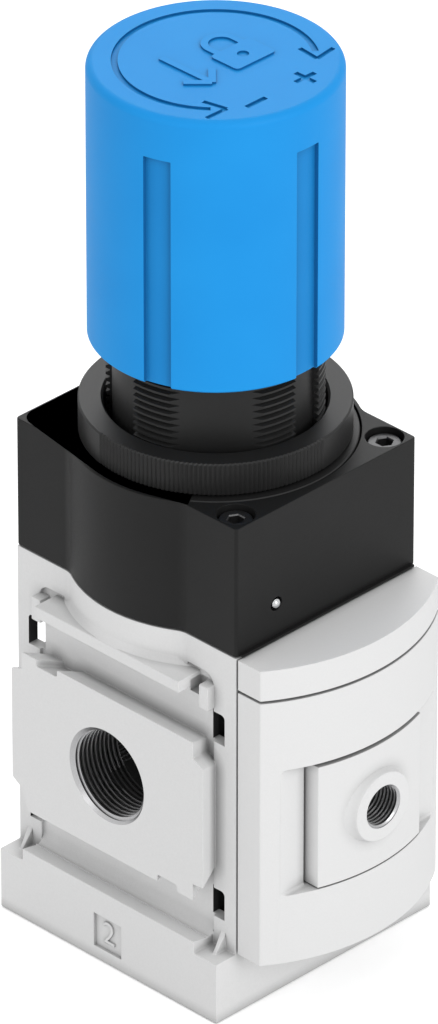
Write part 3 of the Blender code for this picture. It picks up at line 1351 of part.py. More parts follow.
def joint_axis(name, height, children, parent=None):
    """An empty on the knob's axis that carries the pieces of one moving group."""
    axis = bpy.data.objects.new(name, None)
    axis.location = (0.0, 0.0, height)
    bpy.context.scene.collection.objects.link(axis)
    if parent is not None:
        axis.parent = parent
        axis.matrix_parent_inverse = parent.matrix_world.inverted()
    bpy.context.view_layer.update()
    for child in children:
        piece = bpy.data.objects[child]
        piece.parent = axis
        piece.matrix_parent_inverse = axis.matrix_world.inverted()
    return axis


for old in list(bpy.data.objects):
    bpy.data.objects.remove(old, do_unlink=True)

housing()
bottom_plug()
valve()
baffle_plate()
diaphragm_set()
spring_housing()
cover_screws()
bonnet()
ring_nut()
lock_ring()
spindle_set()
knob()
front_cover()
front_cap()
gauge_adapter()

turning = joint_axis("axis_of_knob_turn", BONNET_TOP, ["spindle", "spindle_circlip"])
joint_axis("axis_of_knob_push", BONNET_TOP, ["knob"], turning)
joint_axis("axis_of_nut_travel", NUT_BOTTOM, ["spring_nut"])
joint_axis("axis_of_ring_nut", BLOCK_TOP, ["panel_nut"])
joint_axis("axis_of_valve", SEAT_LIP_Z, ["valve_poppet", "valve_disc", "valve_stem", "poppet_ring"])
joint_axis("axis_of_diaphragm", DIAPHRAGM_TOP, ["lower_plate", "spring_plate", "relief_seat", "plate_nut"])
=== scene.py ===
"""Looks of a precision pressure regulator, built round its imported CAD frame.

Lengths are metres, in the frame's own axes: the foot stands on z = 0 and the knob turns about Z.
The main ports face -X and +X, and the curved cover with the gauge port faces -Y.
"""

import math

import bpy
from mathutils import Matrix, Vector


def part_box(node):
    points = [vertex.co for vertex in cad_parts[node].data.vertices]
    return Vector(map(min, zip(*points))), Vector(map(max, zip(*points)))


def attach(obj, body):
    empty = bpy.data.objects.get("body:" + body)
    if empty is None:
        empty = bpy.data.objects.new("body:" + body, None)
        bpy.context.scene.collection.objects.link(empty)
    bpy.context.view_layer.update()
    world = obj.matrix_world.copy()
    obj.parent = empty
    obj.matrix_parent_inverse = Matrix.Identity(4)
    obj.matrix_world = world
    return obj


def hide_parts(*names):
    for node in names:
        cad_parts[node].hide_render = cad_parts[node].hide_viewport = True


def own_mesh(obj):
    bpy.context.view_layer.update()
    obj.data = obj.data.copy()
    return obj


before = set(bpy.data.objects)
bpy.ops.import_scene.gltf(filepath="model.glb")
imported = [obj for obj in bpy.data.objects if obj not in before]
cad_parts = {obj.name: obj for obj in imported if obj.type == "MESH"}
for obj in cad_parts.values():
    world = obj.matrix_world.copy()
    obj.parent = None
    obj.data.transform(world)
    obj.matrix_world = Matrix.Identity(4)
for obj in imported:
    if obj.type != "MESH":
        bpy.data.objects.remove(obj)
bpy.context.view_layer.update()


# Camera
# The object is seen from above the corner between the outlet port and the gauge port, through a very long
# lens that keeps upright edges almost parallel. The shift puts it where the picture has it.
MM = 0.001
CAMERA_TARGET = Vector((0.0, 0.0, 90.0 * MM))
CAMERA_AZIMUTH = math.radians(-135.139)
CAMERA_ELEVATION = math.radians(31.165)
CAMERA_DISTANCE = 2365.7 * MM
FILM_HEIGHT = 36.0
FOCAL_LENGTH = 415.5
SHIFT_RIGHT = 0.0033
SHIFT_UP = 0.0159

camera_data = bpy.data.cameras.new("studio_camera")
camera = bpy.data.objects.new("studio_camera", camera_data)
bpy.context.scene.collection.objects.link(camera)
bpy.context.scene.camera = camera
level = math.cos(CAMERA_ELEVATION)
sight = Vector((level * math.cos(CAMERA_AZIMUTH), level * math.sin(CAMERA_AZIMUTH), math.sin(CAMERA_ELEVATION)))
camera.location = CAMERA_TARGET + CAMERA_DISTANCE * sight
camera.rotation_euler = sight.to_track_quat("Z", "Y").to_euler()
camera_data.sensor_fit = "VERTICAL"
camera_data.sensor_height = FILM_HEIGHT
camera_data.lens = FOCAL_LENGTH
camera_data.shift_x = SHIFT_RIGHT
camera_data.shift_y = SHIFT_UP
camera_data.clip_end = 30.0


# Studio
# A white room with soft boxes in front, at the left, overhead and behind, over a pale matt floor. The room
# lights the object evenly, the front box makes the gauge port's side the brighter one, and the back box
# lies where the level faces mirror it to the camera.
ROOM_STRENGTH = 0.74
FLOOR_SIZE = 12.0
FLOOR_DROP = 0.1 * MM
FLOOR_LIFT = 0.28


def srgb(code):
    """Linear colour from an sRGB hex code such as #2b9ce7."""
    shares = [int(code[i : i + 2], 16) / 255 for i in (1, 3, 5)]
    linear = [c / 12.92 if c <= 0.04045 else ((c + 0.055) / 1.055) ** 2.4 for c in shares]
    return (*linear, 1.0)


def add_node(tree, kind, settings=None, inputs=None):
    """Add a node. Settings are its own properties, and inputs are values or the sockets they come from."""
    node = tree.nodes.new(kind)
    for key, value in (settings or {}).items():
        setattr(node, key, value)
    for key, value in (inputs or {}).items():
        if isinstance(value, bpy.types.NodeSocket):
            tree.links.new(value, node.inputs[key])
        else:
            node.inputs[key].default_value = value
    return node


def add_soft_box(name, place, aim, width, height, power):
    lamp = bpy.data.lights.new(name, "AREA")
    lamp.shape = "RECTANGLE"
    lamp.size = width
    lamp.size_y = height
    lamp.energy = power
    box = bpy.data.objects.new(name, lamp)
    box.location = place
    box.rotation_euler = (Vector(place) - Vector(aim)).to_track_quat("Z", "Y").to_euler()
    bpy.context.scene.collection.objects.link(box)


scene = bpy.context.scene
scene.view_settings.view_transform = "Standard"
world = bpy.data.worlds.new("white_room")
scene.world = world
world.use_nodes = True
tree = world.node_tree
tree.nodes.clear()
path = add_node(tree, "ShaderNodeLightPath")
seen = add_node(
    tree,
    "ShaderNodeMath",
    {"operation": "MAXIMUM"},
    {0: path.outputs["Is Camera Ray"], 1: path.outputs["Is Transmission Ray"]},
)
seen = add_node(
    tree, "ShaderNodeMath", {"operation": "MAXIMUM"}, {0: seen.outputs[0], 1: path.outputs["Is Glossy Ray"]}
)
strength = add_node(
    tree,
    "ShaderNodeMapRange",
    None,
    {"Value": seen.outputs[0], "To Min": ROOM_STRENGTH, "To Max": 1.0},
)
white = add_node(
    tree, "ShaderNodeBackground", None, {"Color": srgb("#ffffff"), "Strength": strength.outputs[0]}
)
add_node(tree, "ShaderNodeOutputWorld", None, {"Surface": white.outputs[0]})

AIM = (0.0, 0.0, 0.1)
add_soft_box("front_box", (-0.1, -1.6, 0.9), AIM, 0.9, 0.9, 10.5)
add_soft_box("left_box", (-1.6, -0.1, 0.8), AIM, 0.8, 0.8, 3.4)
add_soft_box("top_box", (0.0, 0.0, 1.8), AIM, 1.0, 1.0, 3.0)
add_soft_box("back_box", (1.3, 1.3, 1.15), AIM, 1.2, 0.8, 9.0)

bpy.ops.object.select_all(action="DESELECT")
bpy.ops.mesh.primitive_plane_add(size=FLOOR_SIZE, location=(0.0, 0.0, -FLOOR_DROP))
floor = bpy.context.object
floor.name = "studio_floor"
matt = bpy.data.materials.new("matt_white_floor")
matt.use_nodes = True
tree = matt.node_tree
shader = tree.nodes["Principled BSDF"]
shader.inputs["Base Color"].default_value = srgb("#f7f7f7")
shader.inputs["Roughness"].default_value = 0.95
shader.inputs["Specular IOR Level"].default_value = 0.0
path = add_node(tree, "ShaderNodeLightPath")
lift = add_node(
    tree,
    "ShaderNodeMapRange",
    None,
    {"Value": path.outputs["Is Camera Ray"], "To Min": 0.0, "To Max": FLOOR_LIFT},
)
shader.inputs["Emission Color"].default_value = srgb("#ffffff")
tree.links.new(lift.outputs[0], shader.inputs["Emission Strength"])
floor.data.materials.append(matt)


# Housing
# One aluminium die-casting: a square foot, a column, a dovetail panel round each main port and the channels
# that the module clamps grip. It is coated with light grey powder paint, and the ports are tapped afterwards.
housing_low, housing_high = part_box("housing")
PORT_FACE = housing_high.x
FRONT = housing_low.y
REAR = housing_high.y
HOUSING_TOP = housing_high.z
HALF_OVERLAP = 8.0 * MM  # how far the half casting runs past the plane that it is mirrored in
WALL = 25.4 * MM
FOOT_TOP = 14.1 * MM
LIP_TOP = 16.8 * MM
LIP_FALL = 1.1 * MM
LIP_HALF = 24.6 * MM
CHANNEL_FLOOR = 24.6 * MM
CHANNEL_HALF = 24.6 * MM
CHANNEL_TOP = 77.3 * MM
CHANNEL_CORNER = 2.6 * MM
PORT_Z = 45.2 * MM
PANEL_HALF = 27.3 * MM
PANEL_SHOULDER = 24.4 * MM
PANEL_TOP = PORT_Z + 18.8 * MM
PANEL_BOTTOM = PORT_Z - 18.7 * MM
PANEL_ROOT = 23.0 * MM
NOTCH_DEPTH = 1.6 * MM
BAR_HALF = 20.4 * MM
BAR_BOTTOM = 73.7 * MM
BAR_TOP = 76.4 * MM
TAB_OUT = 27.4 * MM
TAB_ALONG = (22.4 * MM, 25.0 * MM)
TAB_LEVELS = (69.8 * MM, 75.2 * MM)
BULGE_RADIUS = 30.0 * MM
BULGE_BLEND = 5.0 * MM
GUSSET_ALONG = (27.2 * MM, 28.2 * MM)
GUSSET_REACH = 3.8 * MM
GUSSET_RISE = 4.5 * MM
POCKET_X = (10.0 * MM, 22.9 * MM)
SLOT_IN = 18.5 * MM
SLOT_OUT = 25.9 * MM
LIP_FILLET = 2.4 * MM
HOOK_GAP_X = (21.5 * MM, 27.6 * MM)
HOOK_GAP_Y = (17.4 * MM, 22.6 * MM)
HOOK_GAP_LEVELS = (70.4 * MM, 75.5 * MM)
POCKET_Y = (23.8 * MM, 27.8 * MM)
UPPER_POCKET = (57.5 * MM, 62.0 * MM, 69.0 * MM)
LOWER_POCKET = (16.0 * MM, 20.7 * MM, 27.4 * MM)
NUMBER_HALF = 3.95 * MM
NUMBER_LEVELS = (3.0 * MM, 10.9 * MM)
NUMBER_DEPTH = 0.7 * MM
PAST = 1.0 * MM  # how far a cutter runs past the face that it opens
FACING_FRONT = (math.pi / 2, 0.0, 0.0)


def select_only(piece):
    bpy.ops.object.select_all(action="DESELECT")
    piece.select_set(True)
    bpy.context.view_layer.objects.active = piece


def settle(name):
    """Name the object just added, and put its place, turn and size into its mesh.

    Coordinates are rounded to a ten-thousandth of a millimetre, so that faces meant to be level with each
    other are exactly level when two solids are combined.
    """
    piece = bpy.context.object
    piece.name = name
    piece.data.name = name
    bpy.ops.object.transform_apply(location=True, rotation=True, scale=True)
    for point in piece.data.vertices:
        point.co = [round(value, 7) for value in point.co]
    return piece


def add_block(name, low, high):
    """A block between two corners."""
    bpy.ops.object.select_all(action="DESELECT")
    middle = [(a + b) / 2 for a, b in zip(low, high)]
    size = [b - a for a, b in zip(low, high)]
    bpy.ops.mesh.primitive_cube_add(size=1.0, location=middle, scale=size)
    return settle(name)


def add_turned(name, profile, at=(0.0, 0.0, 0.0), turn=(0.0, 0.0, 0.0), sides=192):
    """A turned solid: a disc drawn out and resized through the profile's points, each (radius, along)."""
    bpy.ops.object.select_all(action="DESELECT")
    radius, along = profile[0]
    bpy.ops.mesh.primitive_circle_add(
        vertices=sides, radius=radius, fill_type="NGON", location=(0.0, 0.0, along)
    )
    piece = settle(name)
    bpy.ops.object.mode_set(mode="EDIT")
    for next_radius, next_along in profile[1:]:
        bpy.ops.mesh.extrude_region_move(TRANSFORM_OT_translate={"value": (0.0, 0.0, next_along - along)})
        grow = next_radius / radius
        bpy.ops.transform.resize(value=(grow, grow, 1.0), center_override=(0.0, 0.0, 0.0))
        radius, along = next_radius, next_along
    bpy.ops.mesh.select_all(action="SELECT")
    bpy.ops.mesh.normals_make_consistent(inside=False)
    bpy.ops.object.mode_set(mode="OBJECT")
    piece.location = at
    piece.rotation_euler = turn
    return settle(name)


def pick(piece, kind, test):
    """Enter edit mode with those faces or edges selected whose middle and direction pass the test."""
    select_only(piece)
    bpy.ops.object.mode_set(mode="EDIT")
    bpy.ops.mesh.select_mode(type=kind)
    bpy.ops.mesh.select_all(action="DESELECT")
    bpy.ops.object.mode_set(mode="OBJECT")
    mesh = piece.data
    if kind == "FACE":
        for face in mesh.polygons:
            face.select = test(face.center, face.normal)
    else:
        for edge in mesh.edges:
            first, last = (mesh.vertices[i].co for i in edge.vertices)
            edge.select = test((first + last) / 2, (last - first).normalized())
    bpy.ops.object.mode_set(mode="EDIT")


def near(value, place, slack=0.05 * MM):
    return abs(value - place) < slack


def shift_edge(piece, y, z, move):
    """Move a block's edge that runs along X at the place y, z."""
    pick(piece, "EDGE", lambda middle, way: near(middle.y, y) and near(middle.z, z) and abs(way.x) > 0.9)
    bpy.ops.transform.translate(value=move)
    bpy.ops.object.mode_set(mode="OBJECT")


def blend_edges(piece, width, segments, test):
    """Round or fillet the edges that pass the test."""
    pick(piece, "EDGE", test)
    bpy.ops.mesh.bevel(offset=width, segments=segments, affect="EDGES", clamp_overlap=False)
    bpy.ops.object.mode_set(mode="OBJECT")


def apply_modifier(piece, kind, settings):
    select_only(piece)
    modifier = piece.modifiers.new(kind.lower(), kind)
    for key, value in settings.items():
        setattr(modifier, key, value)
    bpy.ops.object.modifier_apply(modifier=modifier.name)


def combine(piece, tool, operation):
    """Cut a piece with another solid, or join the two, and throw the tool away."""
    apply_modifier(piece, "BOOLEAN", {"object": tool, "operation": operation, "solver": "EXACT"})
    bpy.data.objects.remove(tool)


def cut(piece, tool):
    combine(piece, tool, "DIFFERENCE")


def join(piece, tool):
    combine(piece, tool, "UNION")


def round_edges(piece, width, segments=2, sharper_than=38.0):
    """Clean the cuts' leftovers away, and round every edge that is sharper than an angle in degrees."""
    select_only(piece)
    bpy.ops.object.mode_set(mode="EDIT")
    bpy.ops.mesh.select_all(action="SELECT")
    bpy.ops.mesh.remove_doubles(threshold=0.004 * MM)
    bpy.ops.mesh.dissolve_limited(angle_limit=math.radians(0.15))
    bpy.ops.object.mode_set(mode="OBJECT")
    apply_modifier(
        piece,
        "BEVEL",
        {
            "width": width,
            "segments": segments,
            "limit_method": "ANGLE",
            "angle_limit": math.radians(sharper_than),
            "use_clamp_overlap": False,
            "miter_outer": "MITER_ARC",
        },
    )


def smooth(piece, angle=35.0):
    """Merge leftover points, shade smoothly over the rounded edges, and keep the large faces flat."""
    select_only(piece)
    bpy.ops.object.mode_set(mode="EDIT")
    bpy.ops.mesh.select_all(action="SELECT")
    bpy.ops.mesh.remove_doubles(threshold=0.004 * MM)
    bpy.ops.mesh.dissolve_degenerate(threshold=0.002 * MM)
    bpy.ops.mesh.delete_loose()
    bpy.ops.mesh.select_all(action="SELECT")
    bpy.ops.mesh.normals_make_consistent(inside=False)
    bpy.ops.object.mode_set(mode="OBJECT")
    bpy.ops.object.shade_smooth_by_angle(angle=math.radians(angle))
    apply_modifier(piece, "WEIGHTED_NORMAL", {"keep_sharp": True, "weight": 80})


def add_thread_tool(name, pitch, root, crest, start, stop, at=(0.0, 0.0, 0.0), turn=(0.0, 0.0, 0.0)):
    """A right-hand helical ridge that cuts a thread. It is broad at the radius root and narrow at the crest."""
    bpy.ops.object.select_all(action="DESELECT")
    middle = (root + crest) / 2
    bpy.ops.mesh.primitive_plane_add(size=1.0, location=(middle, 0.0, start), rotation=(math.pi / 2, 0.0, 0.0))
    ridge = bpy.context.object
    ridge.scale = (abs(crest - root), 0.86 * pitch, 1.0)
    ridge = settle(name)
    pick(ridge, "EDGE", lambda edge, way: near(edge.x, crest))
    bpy.ops.transform.resize(value=(1.0, 1.0, 0.2), center_override=(crest, 0.0, start))
    bpy.ops.mesh.select_all(action="SELECT")
    bpy.ops.mesh.delete(type="ONLY_FACE")
    bpy.ops.object.mode_set(mode="OBJECT")
    turns = round((stop - start) / pitch)
    wind = {"axis": "Z", "angle": math.tau, "screw_offset": pitch, "iterations": turns}
    wind.update({"steps": 72, "render_steps": 72, "use_normal_calculate": True})
    apply_modifier(ridge, "SCREW", wind)
    bpy.ops.object.mode_set(mode="EDIT")
    bpy.ops.mesh.select_all(action="SELECT")
    bpy.ops.mesh.remove_doubles(threshold=0.001 * MM)
    bpy.ops.mesh.fill_holes(sides=0)
    bpy.ops.mesh.normals_make_consistent(inside=False)
    bpy.ops.object.mode_set(mode="OBJECT")
    ridge.location = at
    ridge.rotation_euler = turn
    return settle(name)


casting = add_block("housing_casting", (-HALF_OVERLAP, FRONT, 0.0), (PORT_FACE, REAR, HOUSING_TOP))
beyond = PORT_FACE + PAST
lip_slope = LIP_FALL / (PORT_FACE - WALL)


def add_above_lip(name, inner, y, top):
    """A cutter that leaves the lip's slope. It is level along Y and rises toward the port face."""
    bottom = LIP_TOP - lip_slope * (PORT_FACE - inner)
    cutter = add_block(name, (inner, y[0], bottom), (beyond, y[1], top))
    pick(cutter, "EDGE", lambda middle, way: near(middle.x, beyond) and near(middle.z, bottom))
    bpy.ops.transform.translate(value=(0.0, 0.0, lip_slope * (beyond - inner)))
    bpy.ops.object.mode_set(mode="OBJECT")
    return cutter


cut(casting, add_above_lip("above_lip", WALL, (FRONT - PAST, REAR + PAST), HOUSING_TOP + PAST))
for y in ((FRONT - PAST, -LIP_HALF), (LIP_HALF, REAR + PAST)):
    cut(casting, add_block("beside_lip", (WALL, y[0], FOOT_TOP), (beyond, y[1], LIP_TOP + 0.5 * MM)))
channel = add_above_lip("channel", CHANNEL_FLOOR, (-CHANNEL_HALF, CHANNEL_HALF), CHANNEL_TOP)
blend_edges(channel, CHANNEL_CORNER, 5, lambda middle, way: abs(way.x) > 0.9 and middle.z > CHANNEL_TOP - PAST)
cut(casting, channel)
root = LIP_TOP - lip_slope * (PORT_FACE - CHANNEL_FLOOR)
fillet = add_block(
    "lip_fillet",
    (CHANNEL_FLOOR - PAST, -LIP_HALF, root - PAST),
    (CHANNEL_FLOOR + LIP_FILLET, LIP_HALF, root + 1.2 * LIP_FILLET),
)
scoop = [(LIP_FILLET, -LIP_HALF - PAST), (LIP_FILLET, LIP_HALF + PAST)]
scoop_at = (CHANNEL_FLOOR + LIP_FILLET, 0.0, root + 1.2 * LIP_FILLET)
cut(fillet, add_turned("scoop", scoop, scoop_at, FACING_FRONT, 96))
join(casting, fillet)

panel = add_block("panel", (PANEL_ROOT, -PANEL_HALF, PANEL_BOTTOM), (PORT_FACE, PANEL_HALF, PANEL_TOP))
side = (PANEL_ROOT - PAST, PORT_FACE + PAST)
outside = PANEL_HALF + 2.7 * MM
step = add_block("step", (side[0], -outside, PANEL_TOP - 3.7 * MM), (side[1], -PANEL_SHOULDER, PANEL_TOP + PAST))
shift_edge(step, -outside, PANEL_TOP - 3.7 * MM, (0.0, 0.0, -3.1 * MM))
cut(panel, step)
step = add_block("step", (side[0], PANEL_SHOULDER, PANEL_TOP - 4.0 * MM), (side[1], outside, PANEL_TOP + PAST))
shift_edge(step, outside, PANEL_TOP - 4.0 * MM, (0.0, 0.0, -1.9 * MM))
cut(panel, step)
step_top = PANEL_BOTTOM + 3.9 * MM
step = add_block("step", (side[0], -outside, PANEL_BOTTOM - PAST), (side[1], -PANEL_SHOULDER, step_top))
shift_edge(step, -outside, step_top, (0.0, 0.0, 0.4 * MM))
cut(panel, step)
step_top = PANEL_BOTTOM + 5.3 * MM
step = add_block("step", (side[0], 22.45 * MM, PANEL_BOTTOM - PAST), (side[1], outside, step_top))
shift_edge(step, 22.45 * MM, step_top, (0.0, 2.85 * MM, 0.0))
shift_edge(step, outside, step_top, (0.0, 0.0, 2.8 * MM))
cut(panel, step)
notch = add_block("notch", (side[0], 14.2 * MM, PANEL_TOP - NOTCH_DEPTH), (side[1], 20.1 * MM, PANEL_TOP + PAST))
blend_edges(notch, 0.5 * MM, 3, lambda middle, way: abs(way.x) > 0.9 and middle.z < PANEL_TOP)
cut(panel, notch)
notch_top = PANEL_BOTTOM + NOTCH_DEPTH
notch = add_block("notch", (side[0], -19.8 * MM, PANEL_BOTTOM - PAST), (side[1], -14.4 * MM, notch_top))
blend_edges(notch, 0.6 * MM, 3, lambda middle, way: abs(way.x) > 0.9 and middle.y < -15.0 * MM and middle.z > PANEL_BOTTOM)
cut(panel, notch)
pick(panel, "FACE", lambda middle, normal: near(middle.x, PANEL_ROOT) and normal.x < -0.9)
bpy.ops.transform.resize(value=(1.0, 0.89, 0.83), center_override=(PANEL_ROOT, 0.0, PORT_Z))
bpy.ops.object.mode_set(mode="OBJECT")
join(casting, panel)

bulge = [(BULGE_RADIUS, BAR_BOTTOM + 2 * PAST), (BULGE_RADIUS, HOUSING_TOP)]
join(casting, add_turned("bulge", bulge))


def add_bulge_blend(name, side, end, levels):
    """A fillet along the corner between the bulge and the flat wall, tangent to both."""
    centre_x = WALL + BULGE_BLEND
    centre_y = math.sqrt((BULGE_RADIUS + BULGE_BLEND) ** 2 - centre_x**2)
    shrink = BULGE_RADIUS / (BULGE_RADIUS + BULGE_BLEND)
    x = sorted((side * (WALL - PAST), side * centre_x * shrink))
    y = sorted((end * (centre_y * shrink - 0.3 * MM), end * centre_y))
    fillet = add_block(name, (x[0], y[0], levels[0]), (x[1], y[1], levels[1]))
    scoop = [(BULGE_BLEND, levels[0] - PAST), (BULGE_BLEND, levels[1] + PAST)]
    cut(fillet, add_turned("scoop", scoop, (side * centre_x, end * centre_y, 0.0), sides=120))
    return fillet


for end in (-1, 1):
    join(casting, add_bulge_blend("bulge_blend", 1, end, (BAR_BOTTOM + 2 * PAST, HOUSING_TOP)))
join(casting, add_block("bar", (PANEL_ROOT, -BAR_HALF, BAR_BOTTOM), (PORT_FACE, BAR_HALF, BAR_TOP)))
for end in (-1, 1):
    y = sorted((end * GUSSET_ALONG[0], end * GUSSET_ALONG[1]))
    gusset_root = WALL - PAST
    gusset_out = WALL + GUSSET_REACH
    gusset_top = FOOT_TOP + GUSSET_RISE
    gusset = add_block("gusset", (gusset_root, y[0], FOOT_TOP - PAST), (gusset_out, y[1], gusset_top))
    pick(gusset, "EDGE", lambda middle, way: near(middle.x, gusset_out) and near(middle.z, gusset_top))
    bpy.ops.transform.translate(value=(WALL - 0.4 * MM - gusset_out, 0.0, 0.0))
    bpy.ops.object.mode_set(mode="OBJECT")
    join(casting, gusset)
round_edges(casting, 0.28 * MM)
for end in (-1, 1):
    y = sorted((end * TAB_ALONG[0], end * TAB_ALONG[1]))
    tab = add_block("tab", (PANEL_ROOT, y[0], TAB_LEVELS[0]), (TAB_OUT, y[1], TAB_LEVELS[1]))
    round_edges(tab, 0.25 * MM)
    join(casting, tab)
gap_low = (HOOK_GAP_X[0], -HOOK_GAP_Y[1], HOOK_GAP_LEVELS[0])
cut(casting, add_block("hook_gap", gap_low, (HOOK_GAP_X[1], -HOOK_GAP_Y[0], HOOK_GAP_LEVELS[1])))
flare = [(31.3 * MM, 75.9 * MM), (31.3 * MM, 76.2 * MM), (30.8 * MM, 76.45 * MM), (30.4 * MM, 76.8 * MM)]
flare += [(30.15 * MM, 77.3 * MM), (30.03 * MM, 77.9 * MM), (29.9 * MM, 78.6 * MM)]
flare = add_turned("flare", flare)
flare_limit = add_block("flare_limit", (20.0 * MM, -40.0 * MM, 70.0 * MM), (30.98 * MM, 40.0 * MM, 80.0 * MM))
combine(flare, flare_limit, "INTERSECT")
join(casting, flare)
for end in (-1, 1):
    for bottom, sill, head in (UPPER_POCKET, LOWER_POCKET):
        y = sorted((end * POCKET_Y[0], end * POCKET_Y[1]))
        slot = add_block("slot", (SLOT_IN, y[0], sill), (SLOT_OUT, y[1], head))
        corner = lambda middle, way: abs(way.x) > 0.9 and abs(middle.y) > 26.0 * MM and middle.z > sill + PAST
        blend_edges(slot, 0.9 * MM, 4, corner)
        cut(casting, slot)
        y = sorted((end * (POCKET_Y[0] - 0.3 * MM), end * (REAR + PAST)))
        cut(casting, add_block("pocket", (POCKET_X[0], y[0], bottom), (POCKET_X[1], y[1], head + 0.2 * MM)))
field_floor = PORT_FACE - NUMBER_DEPTH
field = add_block("number_field", (field_floor, -NUMBER_HALF, NUMBER_LEVELS[0]), (beyond, NUMBER_HALF, NUMBER_LEVELS[1]))
cut(casting, field)
apply_modifier(casting, "MIRROR", {"use_axis": (True, False, False), "use_bisect_axis": (True, False, False)})

plug_bore = 17.0 * MM
chambers = [(plug_bore, -PAST), (plug_bore, 9.0 * MM), (15.0 * MM, 9.0 * MM), (15.0 * MM, 35.8 * MM)]
chambers += [(10.0 * MM, 35.8 * MM), (10.0 * MM, 41.1 * MM), (8.5 * MM, 41.1 * MM), (8.5 * MM, 57.0 * MM)]
chambers += [(18.5 * MM, 57.0 * MM), (18.5 * MM, 64.0 * MM), (21.0 * MM, 64.0 * MM), (21.0 * MM, 82.3 * MM)]
chambers += [(24.4 * MM, 82.3 * MM), (24.4 * MM, HOUSING_TOP + PAST)]
cut(casting, add_turned("chambers", chambers, sides=96))

PORT_RADIUS = 9.4 * MM
PORT_MOUTH = 1.2 * MM
PORT_DEPTH = 15.0 * MM
PORT_PITCH = 1.2 * MM
PORT_RUNOUT = 2.8 * MM
PORT_MAJOR = 10.15 * MM
port_end = PORT_FACE - PORT_DEPTH
mouth = PORT_RADIUS + PORT_MOUTH
bore = [(PORT_RADIUS, port_end), (PORT_RADIUS, PORT_FACE - PORT_MOUTH), (mouth, PORT_FACE), (mouth, PORT_FACE + PAST)]
for end in (-1, 1):
    outward = (0.0, end * math.pi / 2, 0.0)
    axis = (0.0, 0.0, PORT_Z)
    cut(casting, add_turned("port_bore", bore, axis, outward, 187))
    x = sorted((end * 12.5 * MM, end * 22.5 * MM))
    z = (29.8 * MM, PORT_Z) if end > 0 else (PORT_Z, 60.0 * MM)
    cut(casting, add_block("duct", (x[0], -7.5 * MM, z[0]), (x[1], 7.5 * MM, z[1])))
    start = port_end + PORT_RUNOUT
    inside = PORT_RADIUS - 0.25 * MM
    cut(casting, add_thread_tool("port_tap", PORT_PITCH, inside, PORT_MAJOR, start, PORT_FACE, axis, outward))
    for x in (-21.0 * MM, 21.0 * MM):
        hole = [(2.3 * MM, 73.0 * MM), (2.3 * MM, HOUSING_TOP + PAST)]
        cut(casting, add_turned("screw_hole", hole, (x, end * 26.5 * MM, 0.0), sides=32))

front_floor = -FRONT - 3.4 * MM
for x, z in ((0.0, 22.0), (0.0, 69.0), (-12.0, 79.45), (12.0, 79.45), (-10.5, 34.9), (10.5, 34.9), (-10.5, 55.5), (10.5, 55.5)):
    hole = [(1.9 * MM, front_floor), (1.9 * MM, -FRONT + PAST)]
    cut(casting, add_turned("peg_hole", hole, (x * MM, 0.0, z * MM), (math.pi / 2, 0.0, 0.0), 32))
passage = [(2.0 * MM, 7.5 * MM), (2.0 * MM, -FRONT + PAST)]
cut(casting, add_turned("gauge_passage", passage, (0.0, 0.0, PORT_Z), (math.pi / 2, 0.0, 0.0), 32))
smooth(casting)


def shade_creases(tree, tone, reach, least):
    """Darken a colour in corners and joints narrower than the reach, down to the least share of it."""
    crease = add_node(tree, "ShaderNodeAmbientOcclusion", {"samples": 6}, {"Distance": reach})
    share = add_node(tree, "ShaderNodeMapRange", None, {"Value": crease.outputs["AO"], "To Min": least, "To Max": 1.0})
    return add_node(
        tree, "ShaderNodeMix", {"data_type": "RGBA", "blend_type": "MULTIPLY"}, {"Factor": 1.0, 6: tone, 7: share.outputs[0]}
    ).outputs[2]


# The powder paint is satin, with the faint waviness of a coat that flowed in the oven and a fleck finer
# than half a millimetre. Both are only seen where a highlight crosses them. Inner corners and joints are
# darkened with painted shade, by how enclosed they are.
paint = bpy.data.materials.new("powder_coated_aluminium")
paint.use_nodes = True
tree = paint.node_tree
shader = tree.nodes["Principled BSDF"]
place = add_node(tree, "ShaderNodeTexCoord").outputs["Object"]
fleck = add_node(tree, "ShaderNodeTexNoise", None, {"Vector": place, "Scale": 1 / (0.4 * MM), "Detail": 2.0})
wave = add_node(tree, "ShaderNodeTexNoise", None, {"Vector": place, "Scale": 1 / (2.2 * MM), "Detail": 1.0})
tone = add_node(
    tree,
    "ShaderNodeMix",
    {"data_type": "RGBA"},
    {"Factor": fleck.outputs["Fac"], 6: srgb("#d4d4d4"), 7: srgb("#dcdcdc")},
)
tree.links.new(shade_creases(tree, tone.outputs[2], 3.0 * MM, 0.3), shader.inputs["Base Color"])
gloss = add_node(
    tree, "ShaderNodeMapRange", None, {"Value": wave.outputs["Fac"], "To Min": 0.46, "To Max": 0.58}
)
tree.links.new(gloss.outputs[0], shader.inputs["Roughness"])
height = add_node(
    tree,
    "ShaderNodeMath",
    {"operation": "MULTIPLY_ADD"},
    {0: wave.outputs["Fac"], 1: 2.0, 2: fleck.outputs["Fac"]},
)
coat = add_node(
    tree, "ShaderNodeBump", None, {"Strength": 0.35, "Distance": 0.012 * MM, "Height": height.outputs[0]}
)
tree.links.new(coat.outputs[0], shader.inputs["Normal"])
shader.inputs["IOR"].default_value = 1.45
shader.inputs["Specular IOR Level"].default_value = 0.35
